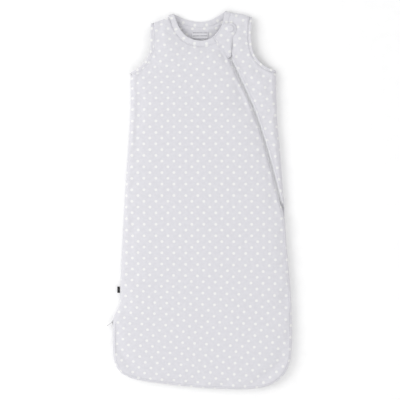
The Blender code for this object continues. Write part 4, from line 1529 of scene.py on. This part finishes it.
@dataclass
class ZipFastener(Seamed):
    """Two tapes with a nylon coil each, the guard behind them and the rows that sew them in."""

    bag: PaddedBag
    pitch: float = 1.3 * MM
    half_thick: float = 0.3 * MM
    row: float = 6.4 * MM
    # Millimetres from the centre line to where a tape bends over the rim, and on from there to its edge.
    flat_part: float = 5.0
    outer_part: float = 3.9

    def ribbon(self, name: str,
               corners: Callable[[float, float], list[tuple[float, float]]]) -> bpy.types.Object:
        """A strip along the zip.

        Args:
            name: the piece's name.
            corners: its section, (across, through), from how far the zip has turned and how far it is in
                from the outline.

        Returns:
            The piece.
        """
        p = self.pattern
        sections = []
        for (centre, wide, face), twist, depth in list(zip(p.zip_frames(), p.twists, p.depths))[1:-1]:
            sections.append([centre + wide * a + face * b for a, b in corners(twist, depth)])
        return sweep(name, sections)

    def tape(self, side: str, sign: int) -> bpy.types.Object:
        """One tape. Over the rim its outer half turns in, under the cloth.

        Args:
            side: front or back.
            sign: 1 on the front's side and -1 on the back's.

        Returns:
            The piece.
        """
        def corners(twist: float, depth: float) -> list[tuple[float, float]]:
            """The tape's section, top and underside."""
            lean = twist * 0.96
            inner, widest = self.flat_part, self.outer_part
            room = (depth / MM - 0.7 - inner * math.cos(twist)) / max(0.05, math.cos(twist + lean))
            outer = widest if sign > 0 or twist > 1.2 else min(widest, max(0.3, room))
            top, under = [], []
            for a, sunk in ((0.06, 0.78), (1.9, 0.72), (2.4, 0.1), (inner, 0.0), (inner + outer / 2, 0.0),
                            (inner + outer, 0.0)):
                past = max(0.0, a - inner)
                at = (min(a, inner) + past * math.cos(lean), -past * math.sin(lean) - sunk)
                tilt = (math.sin(lean), math.cos(lean)) if past else (0.0, 1.0)
                half = self.half_thick / MM * (0.5 if a < 2 else 1.0)
                top.append((sign * (at[0] + tilt[0] * half) * MM, (at[1] + tilt[1] * half) * MM))
                under.append((sign * (at[0] - tilt[0] * half) * MM, (at[1] - tilt[1] * half) * MM))
            return top + list(reversed(under))

        obj = self.ribbon("zip_tape_" + side + "_cloth", corners)
        self.dress(obj, self.finishes.tape, Slot.TAPE)
        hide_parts("zip_tape_" + side)
        return obj

    def coil(self, side: str, sign: int) -> bpy.types.Object:
        """One row of coil: a flattened loop, modelled once and set along the tape.

        Args:
            side: front or back.
            sign: 1 on the front's side and -1 on the back's.

        Returns:
            The piece.
        """
        only_none()
        bpy.ops.mesh.primitive_torus_add(major_segments=8, minor_segments=4, major_radius=0.78 * MM,
                                         minor_radius=0.27 * MM, rotation=(0, math.pi / 2, 0))
        loop = bpy.context.object
        bpy.ops.object.transform_apply(location=True, rotation=True, scale=True)
        bpy.ops.object.mode_set(mode="EDIT")
        bpy.ops.mesh.select_all(action="SELECT")
        bpy.ops.transform.resize(value=(1.15, 1.3, 0.95))
        bpy.ops.object.mode_set(mode="OBJECT")
        shape = np.array([v.co[:] for v in loop.data.vertices])
        rings = [list(q.vertices) for q in loop.data.polygons]
        bpy.data.objects.remove(loop)
        shape[:, 1] += 0.98 * MM
        shape[:, 0] += (shape[:, 1] - 0.98 * MM) * 0.22
        path = self.pattern.zip
        total = lengths(path)
        frames = self.pattern.zip_frames()
        verts, faces = [], []
        s = 8 * MM + (self.pitch / 2 if sign > 0 else 0.0)
        while s < total[-1] - 4 * MM:
            k = min(int(np.searchsorted(total, s)), len(path) - 1)
            t = (s - total[k - 1]) / (total[k] - total[k - 1])
            at, wide, face = (a.lerp(b, t) for a, b in zip(frames[k - 1], frames[k]))
            forward = (frames[k][0] - frames[k - 1][0]).normalized()
            base = len(verts) * len(shape)
            axes = np.array([forward[:], (wide * sign)[:], face[:]])
            verts.append(shape @ axes + np.array(at[:]))
            faces += [[base + i for i in ring] for ring in rings]
            s += self.pitch
        obj = new_mesh("zip_coil_" + side + "_nylon", np.concatenate(verts), faces)
        face_out(obj)
        self.dress(obj, self.finishes.coil, Slot.COIL)
        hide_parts("zip_coil_" + side)
        self.report(obj)
        return obj

    def build(self) -> None:
        """Makes the tapes, the coils, the guard and the rows of stitches."""
        p = self.pattern
        for side, sign in (("front", 1), ("back", -1)):
            for obj in (self.tape(side, sign), self.coil(side, sign)):
                if side == "front":
                    self.open_with_front(obj)
                else:
                    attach(obj, Body.BAG.value)
        guard = [(a * MM, b * MM) for a, b in (
            (-8.8, -0.9), (-7.6, -0.85), (-6.6, -0.9), (-5.4, -2.0), (-4.2, -3.2), (-1, -3.3), (3, -3.3),
            (7.2, -3.3), (7.5, -3.7), (7.2, -4.1), (3, -4.1), (-1, -4.1), (-4.5, -4.1), (-5.7, -2.9),
            (-6.9, -1.6), (-8.8, -1.6))]
        obj = self.ribbon("zip_guard_cloth", lambda twist, depth: guard)
        self.dress(obj, self.finishes.knit, Slot.LINING)
        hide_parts("zip_guard")
        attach(obj, Body.BAG.value)
        self.report(obj)
        sewing = StitchRow(p, self.finishes)
        row = shifted(p.zip, [self.row - 2.0 * MM * math.sin(t) for t in p.twists])
        sewn = Surface.of(self.bag.front).over(spaced(row[6:-3], 1.5 * MM), 0.1 * MM)
        obj = sewing.make("zip_front_stitches", sewn)
        self.open_with_front(obj)
        row = [q for q, depth in zip(shifted(p.zip, -self.row), p.depths) if depth > 11 * MM]
        sewn = Surface.of(self.bag.right).over(spaced(row[6:], 1.5 * MM), 0.1 * MM)
        obj = sewing.make("zip_right_stitches", sewn)
        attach(obj, Body.BAG.value)


@dataclass
class Hardware(Seamed):
    """The moulded and stamped parts, with their edges worn round: sliders, pulls, stops and press stud."""

    pull_rim: float = 0.55 * MM

    def refined(self, node: str, name: str, bevel: float, recess: float = 0.0) -> bpy.types.Object:
        """A merged copy of a part with its edges rounded and, on a pull, a recessed face.

        Args:
            node: the part it stands for.
            name: its own name.
            bevel: how far its edges are rounded.
            recess: how deep its two broad faces are sunk inside a rim.

        Returns:
            The piece.
        """
        obj = bpy.data.objects.new(name, frame["nodes"][node].data.copy())
        bpy.context.scene.collection.objects.link(obj)
        only(obj)
        bpy.ops.object.mode_set(mode="EDIT")
        bpy.ops.mesh.select_all(action="SELECT")
        bpy.ops.mesh.remove_doubles(threshold=0.01 * MM)
        bpy.ops.mesh.dissolve_limited(angle_limit=math.radians(3))
        if recess:
            bpy.ops.mesh.select_all(action="DESELECT")
            bpy.ops.mesh.select_mode(type="FACE")
            mesh = bmesh.from_edit_mesh(obj.data)
            mesh.faces.ensure_lookup_table()
            for face in sorted(mesh.faces, key=lambda f: -f.calc_area())[:2]:
                face.select_set(True)
            bmesh.update_edit_mesh(obj.data)
            bpy.ops.mesh.inset(thickness=self.pull_rim, use_boundary=True)
            bpy.ops.transform.shrink_fatten(value=-recess)
        bpy.ops.object.mode_set(mode="OBJECT")
        apply(obj, "BEVEL", width=bevel, segments=2, limit_method="ANGLE", angle_limit=math.radians(35),
              use_clamp_overlap=True)
        only(obj)
        bpy.ops.object.shade_smooth_by_angle(angle=math.radians(40))
        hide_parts(node)
        return obj

    def build(self) -> None:
        """Makes every hard part."""
        f = self.finishes
        parts = (
            ("upper_slider_body", "upper_slider", f.slider, Slot.SLIDER, Body.UPPER_SLIDER, 0.16, 0.0),
            ("lower_slider_body", "lower_slider", f.slider, Slot.SLIDER, Body.LOWER_SLIDER, 0.16, 0.0),
            ("upper_pull_tab", "upper_pull", f.slider, Slot.SLIDER, Body.UPPER_PULL, 0.12, 0.1),
            ("lower_pull_tab", "lower_pull", f.slider, Slot.SLIDER, Body.LOWER_PULL, 0.12, 0.1),
            ("zip_top_stop_left", "top_stop_left", f.coil, Slot.COIL, Body.PANEL, 0.25, 0.0),
            ("zip_top_stop_right", "top_stop_right", f.coil, Slot.COIL, Body.BAG, 0.25, 0.0),
            ("zip_end_stop", "end_stop", f.coil, Slot.COIL, Body.BAG, 0.25, 0.0),
            ("snap_stud", "snap_stud_post", f.snap, Slot.SNAP, Body.BAG, 0.1, 0.0),
            ("snap_stud_ring", "snap_back_ring", f.snap, Slot.SNAP, Body.BAG, 0.1, 0.0),
            ("snap_socket", "snap_spring_socket", f.snap, Slot.SNAP, Body.FLAP, 0.1, 0.0),
            ("snap_cap", "snap_cap_disc", f.snap, Slot.SNAP, Body.FLAP, 0.05, 0.0),
        )
        for node, name, material, slot, body, bevel, recess in parts:
            obj = self.refined(node, name, bevel * MM, recess * MM)
            self.dress(obj, material, slot)
            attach(obj, body.value)
            self.report(obj)


# ------------------------------------------------------------------ the snap flap


@dataclass
class FlapCloth(Quilt):
    """The flap's two layers as one form, raised over the press stud, with a groove at its topstitching."""

    cap_rise: float = 3.2 * MM
    cap_radius: float = 5.4 * MM
    row: float = 2.6 * MM

    def sites(self, outline: Line) -> np.ndarray:
        """Points for the mesh, with rings round the press stud.

        Args:
            outline: the closed outline.

        Returns:
            The points, the outline's first.
        """
        made = super().sites(outline)
        snap = np.array(self.pattern.snap[:])
        radii = (1.5, 3.2, 5.0, 6.4, 7.6, 8.6, 9.6)
        gap = np.linalg.norm(made - snap, axis=1)
        kept = made[(gap > (radii[-1] + 0.9) * MM) | (np.arange(len(made)) < len(outline))]
        rings = [snap[None]]
        for radius in radii:
            turns = np.linspace(0, 2 * np.pi, max(8, int(radius * 5)), endpoint=False) + radius
            rings.append(snap + radius * MM * np.stack([np.cos(turns), np.sin(turns)], 1))
        return np.concatenate([kept, *rings])

    def heights(self, where: np.ndarray) -> tuple[np.ndarray, np.ndarray]:
        """The top and bottom of the flap at flat places.

        Args:
            where: the places, one in each row.

        Returns:
            The heights of the top, and those of the bottom.
        """
        ring = self.outline()
        depth, _ = near_line(where, ring + [ring[0]])
        away = np.linalg.norm(where - np.array(self.pattern.snap[:]), axis=1)
        half = (self.top - self.bottom) / 2
        plump = half * np.sqrt(1 - (1 - np.clip(depth / (1.2 * MM), 0.08, 1)) ** 2)
        plump -= 0.28 * MM * np.exp(-(((depth - self.row) / (0.8 * MM)) ** 2))
        t = np.clip((self.cap_radius + 4 * MM - away) / (3.4 * MM), 0, 1)
        dome = t * t * (3 - 2 * t)
        groove = 0.4 * MM * np.exp(-(((away - self.cap_radius - 3.4 * MM) / (0.9 * MM)) ** 2))
        middle = (self.top + self.bottom) / 2
        return (middle + plump + dome * self.cap_rise - groove,
                middle - plump + dome * (self.cap_rise - 0.4 * MM))


@dataclass
class SnapFlap(Seamed):
    """The flap over the zip's top, sewn to the front along one side and snapped down at its round end."""

    under: float = 21.35 * MM
    over: float = 23.05 * MM

    @staticmethod
    def loop(pattern: Pattern, radius: float = 13.5 * MM) -> Line:
        """The flap's outline.

        Args:
            pattern: the bag's curves.
            radius: the radius of its round end.

        Returns:
            The closed outline.
        """
        turns = [math.radians(-38 + 160 * k / 16) for k in range(17)]
        arc = [pattern.snap + Vector((math.cos(t), math.sin(t))) * radius for t in turns]
        return pattern.flap_sewn + pattern.flap_free + arc + pattern.flap_neck

    def build(self) -> None:
        """Makes the flap and its topstitching."""
        corners = self.loop(self.pattern)
        level = Edge(corners + [corners[0]], lambda p: self.over, lambda p: self.under)
        rings = (0.35 * MM, 0.9 * MM, 1.7 * MM, 2.6 * MM, 3.5 * MM, 4.8 * MM)
        cloth = FlapCloth(self.pattern, self.finishes, "snap_flap_cloth", [level], self.over, self.under,
                          Print.RIGHT, spacing=2.2 * MM, rings=rings, step=1.6 * MM)
        obj = cloth.build()
        obj.vertex_groups.clear()
        subdivide(obj)
        self.dress(obj, self.finishes.knit, Slot.KNIT)
        outline = cloth.outline()
        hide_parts("snap_flap_shell", "snap_flap_lining")
        self.turn(obj)
        self.report(obj)
        row = shifted_ring(outline, cloth.row)
        sewing = StitchRow(self.pattern, self.finishes)
        sewn = Surface.of(obj).over(spaced(row + [row[0]], 1.5 * MM), 0.05 * MM)
        obj = sewing.make("snap_flap_stitches", sewn)
        self.turn(obj)

    def turn(self, obj: bpy.types.Object) -> None:
        """Bakes a piece's placement into its mesh."""
        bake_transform(obj)


def shifted_ring(ring: Line, distance: float) -> Line:
    """A closed outline moved inwards.

    Args:
        ring: the outline.
        distance: how far.

    Returns:
        The moved outline.
    """
    area = signed_area(ring)
    made = []
    for i, q in enumerate(ring):
        tangent = (ring[(i + 1) % len(ring)] - ring[i - 1]).normalized()
        inward = Vector((-tangent.y, tangent.x)) * (1 if area > 0 else -1)
        made.append(q + inward * distance)
    return made


def signed_area(ring: Line) -> float:
    """The area inside an outline, positive where it runs anticlockwise."""
    return sum(a.x * b.y - b.x * a.y for a, b in zip(ring, ring[1:] + ring[:1])) / 2


# ------------------------------------------------------------------ labels


@dataclass
class Labels(Seamed):
    """The loop tag in the side seam and the two blank labels inside."""

    margin: float = 1.5 * MM
    row_inset: float = 1.8 * MM

    def label(self, node: str, name: str, rows: bool) -> None:
        """A blank satin label with turned edges, sewn down.

        Args:
            node: the part it stands for.
            name: its own name.
            rows: it carries three stitched rows.
        """
        low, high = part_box(node)
        middle, size = (low + high) / 2, high - low
        only_none()
        bpy.ops.mesh.primitive_grid_add(x_subdivisions=18, y_subdivisions=10, size=1.0, location=middle)
        obj = bpy.context.object
        obj.name = name
        bpy.ops.object.mode_set(mode="EDIT")
        bpy.ops.mesh.select_all(action="SELECT")
        bpy.ops.transform.resize(value=(size.x, size.y, 1.0), center_override=middle)
        bpy.ops.object.mode_set(mode="OBJECT")
        bpy.ops.object.transform_apply(location=True, rotation=True, scale=True)
        for v in obj.data.vertices:
            x, y = (v.co.x - middle.x) / MM, (v.co.y - middle.y) / MM
            v.co.z = low.z + 0.15 * MM + 0.08 * MM * math.sin(x / 4.0) * math.cos(y / 5.0)
        apply(obj, "SOLIDIFY", thickness=0.3 * MM, offset=0.0)
        apply(obj, "BEVEL", width=0.08 * MM, segments=1, limit_method="ANGLE")
        layer = obj.data.uv_layers.active or obj.data.uv_layers.new()
        layer.name = "cloth"
        for loop in obj.data.loops:
            at = obj.data.vertices[loop.vertex_index].co
            layer.data[loop.index].uv = (at.x / REPEAT, at.y / REPEAT)
        obj.data.shade_smooth()
        self.dress(obj, self.finishes.satin, Slot.LABEL)
        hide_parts(node)
        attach(obj, Body.BAG.value)
        self.report(obj)
        if not rows:
            return
        sewing = StitchRow(self.pattern, self.finishes, length=2.6 * MM, pause=0.4 * MM, half=0.55 * MM)
        for part, y in (("top", high.y - self.row_inset), ("middle", middle.y),
                        ("bottom", low.y + self.row_inset)):
            xs = [low.x + self.margin + (size.x - 2 * self.margin) * k / 20 for k in range(21)]
            path = [Vector((x, y, high.z + 0.25 * MM)) for x in xs]
            row = sewing.make(name + "_" + part + "_stitches", path, self.finishes.tape_thread)
            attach(row, Body.BAG.value)

    def side_tag(self) -> None:
        """A folded loop of black ribbon, caught in the left side seam."""
        low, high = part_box("side_tag")
        mid_z, out = (low.z + high.z) / 2, high.x - low.x
        half = []
        for k in range(9):
            t = k / 8
            half.append((high.x - out * t, 0.75 * MM * math.sqrt(max(0.0, 1 - (t ** 6))) + 0.05 * MM))
        outer = half + [(x, -z) for x, z in reversed(half[:-1])]
        inner = [(x + 0.32 * MM, z * 0.45) for x, z in outer]
        sections = []
        for j in range(9):
            y = low.y + (high.y - low.y) * j / 8
            sections.append([Vector((x, y, mid_z + z)) for x, z in outer + list(reversed(inner))])
        obj = sweep("side_loop_tag", sections)
        self.dress(obj, self.finishes.ribbon, Slot.TAG)
        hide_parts("side_tag")
        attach(obj, Body.BAG.value)
        self.report(obj)

    def build(self) -> None:
        """Makes the tag and the labels."""
        self.side_tag()
        self.label("neck_label", "neck_size_label", True)
        self.label("care_label", "inner_care_label", False)


# ------------------------------------------------------------------ the studio


@dataclass
class Studio:
    """A pale floor, soft light and a camera straight above."""

    view_width: float = 0.888
    distance: float = 3.0
    sensor: float = 36.0
    middle: tuple = (0.00109, 0.00025)

    def light(self, name: str, place: tuple, size: float, power: float, colour: tuple = (1, 1, 1)) -> None:
        """A large soft light that faces the bag.

        Args:
            name: its name.
            place: where it stands.
            size: how wide it is.
            power: its power in watts.
            colour: its colour.
        """
        lamp = bpy.data.lights.new(name, "AREA")
        lamp.shape, lamp.size, lamp.energy, lamp.color = "DISK", size, power, colour
        obj = bpy.data.objects.new(name, lamp)
        bpy.context.scene.collection.objects.link(obj)
        obj.location = place
        obj.rotation_euler = (-Vector(place)).to_track_quat("-Z", "Y").to_euler()

    def floor(self) -> None:
        """A broad white sweep under the bag."""
        only_none()
        bpy.ops.mesh.primitive_plane_add(size=12.0, location=(0, 0, -0.0004))
        obj = bpy.context.object
        obj.name = "floor"
        g = Graph("floor_paper")
        grain = g.noise(g.add("TexCoord").outputs["Object"], 40.0, 3.0)
        paper = g.mix(g.span(grain, 0.3, 0.7, 0.0, 1.0), (0.93, 0.93, 0.93, 1), (0.95, 0.95, 0.95, 1))
        obj.data.materials.append(g.finish(Base_Color=paper, Roughness=0.95, Specular_IOR_Level=0.1))

    def build(self) -> None:
        """Sets the stage."""
        scene = bpy.context.scene
        self.floor()
        world = bpy.data.worlds.new("studio")
        scene.world = world
        world.use_nodes = True
        world.node_tree.nodes["Background"].inputs["Color"].default_value = (1, 1, 1, 1)
        world.node_tree.nodes["Background"].inputs["Strength"].default_value = 0.84
        self.light("key", (-1.9, 0.3, 1.9), 1.8, 26.0)
        self.light("fill", (0.9, -1.6, 2.4), 2.2, 8.0)
        lens = bpy.data.cameras.new("camera")
        lens.sensor_width = self.sensor
        lens.lens = self.sensor * (self.distance - 0.015) / self.view_width
        lens.clip_end = 20.0
        camera = bpy.data.objects.new("camera", lens)
        scene.collection.objects.link(camera)
        camera.location = (*self.middle, self.distance)
        scene.camera = camera
        scene.view_settings.view_transform = "Standard"


def main() -> None:
    """Builds the bag, piece by piece, and the studio round it."""
    logging.basicConfig(level=logging.INFO, format="%(message)s")
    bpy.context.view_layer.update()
    pattern, finishes = Pattern(), Finishes.make()
    bag = PaddedBag(pattern, finishes)
    bag.build()
    Bindings(pattern, finishes, bag).build()
    ZipFastener(pattern, finishes, bag).build()
    Hardware(pattern, finishes).build()
    SnapFlap(pattern, finishes).build()
    Labels(pattern, finishes).build()
    Studio().build()


if __name__ == "__main__":
    main()
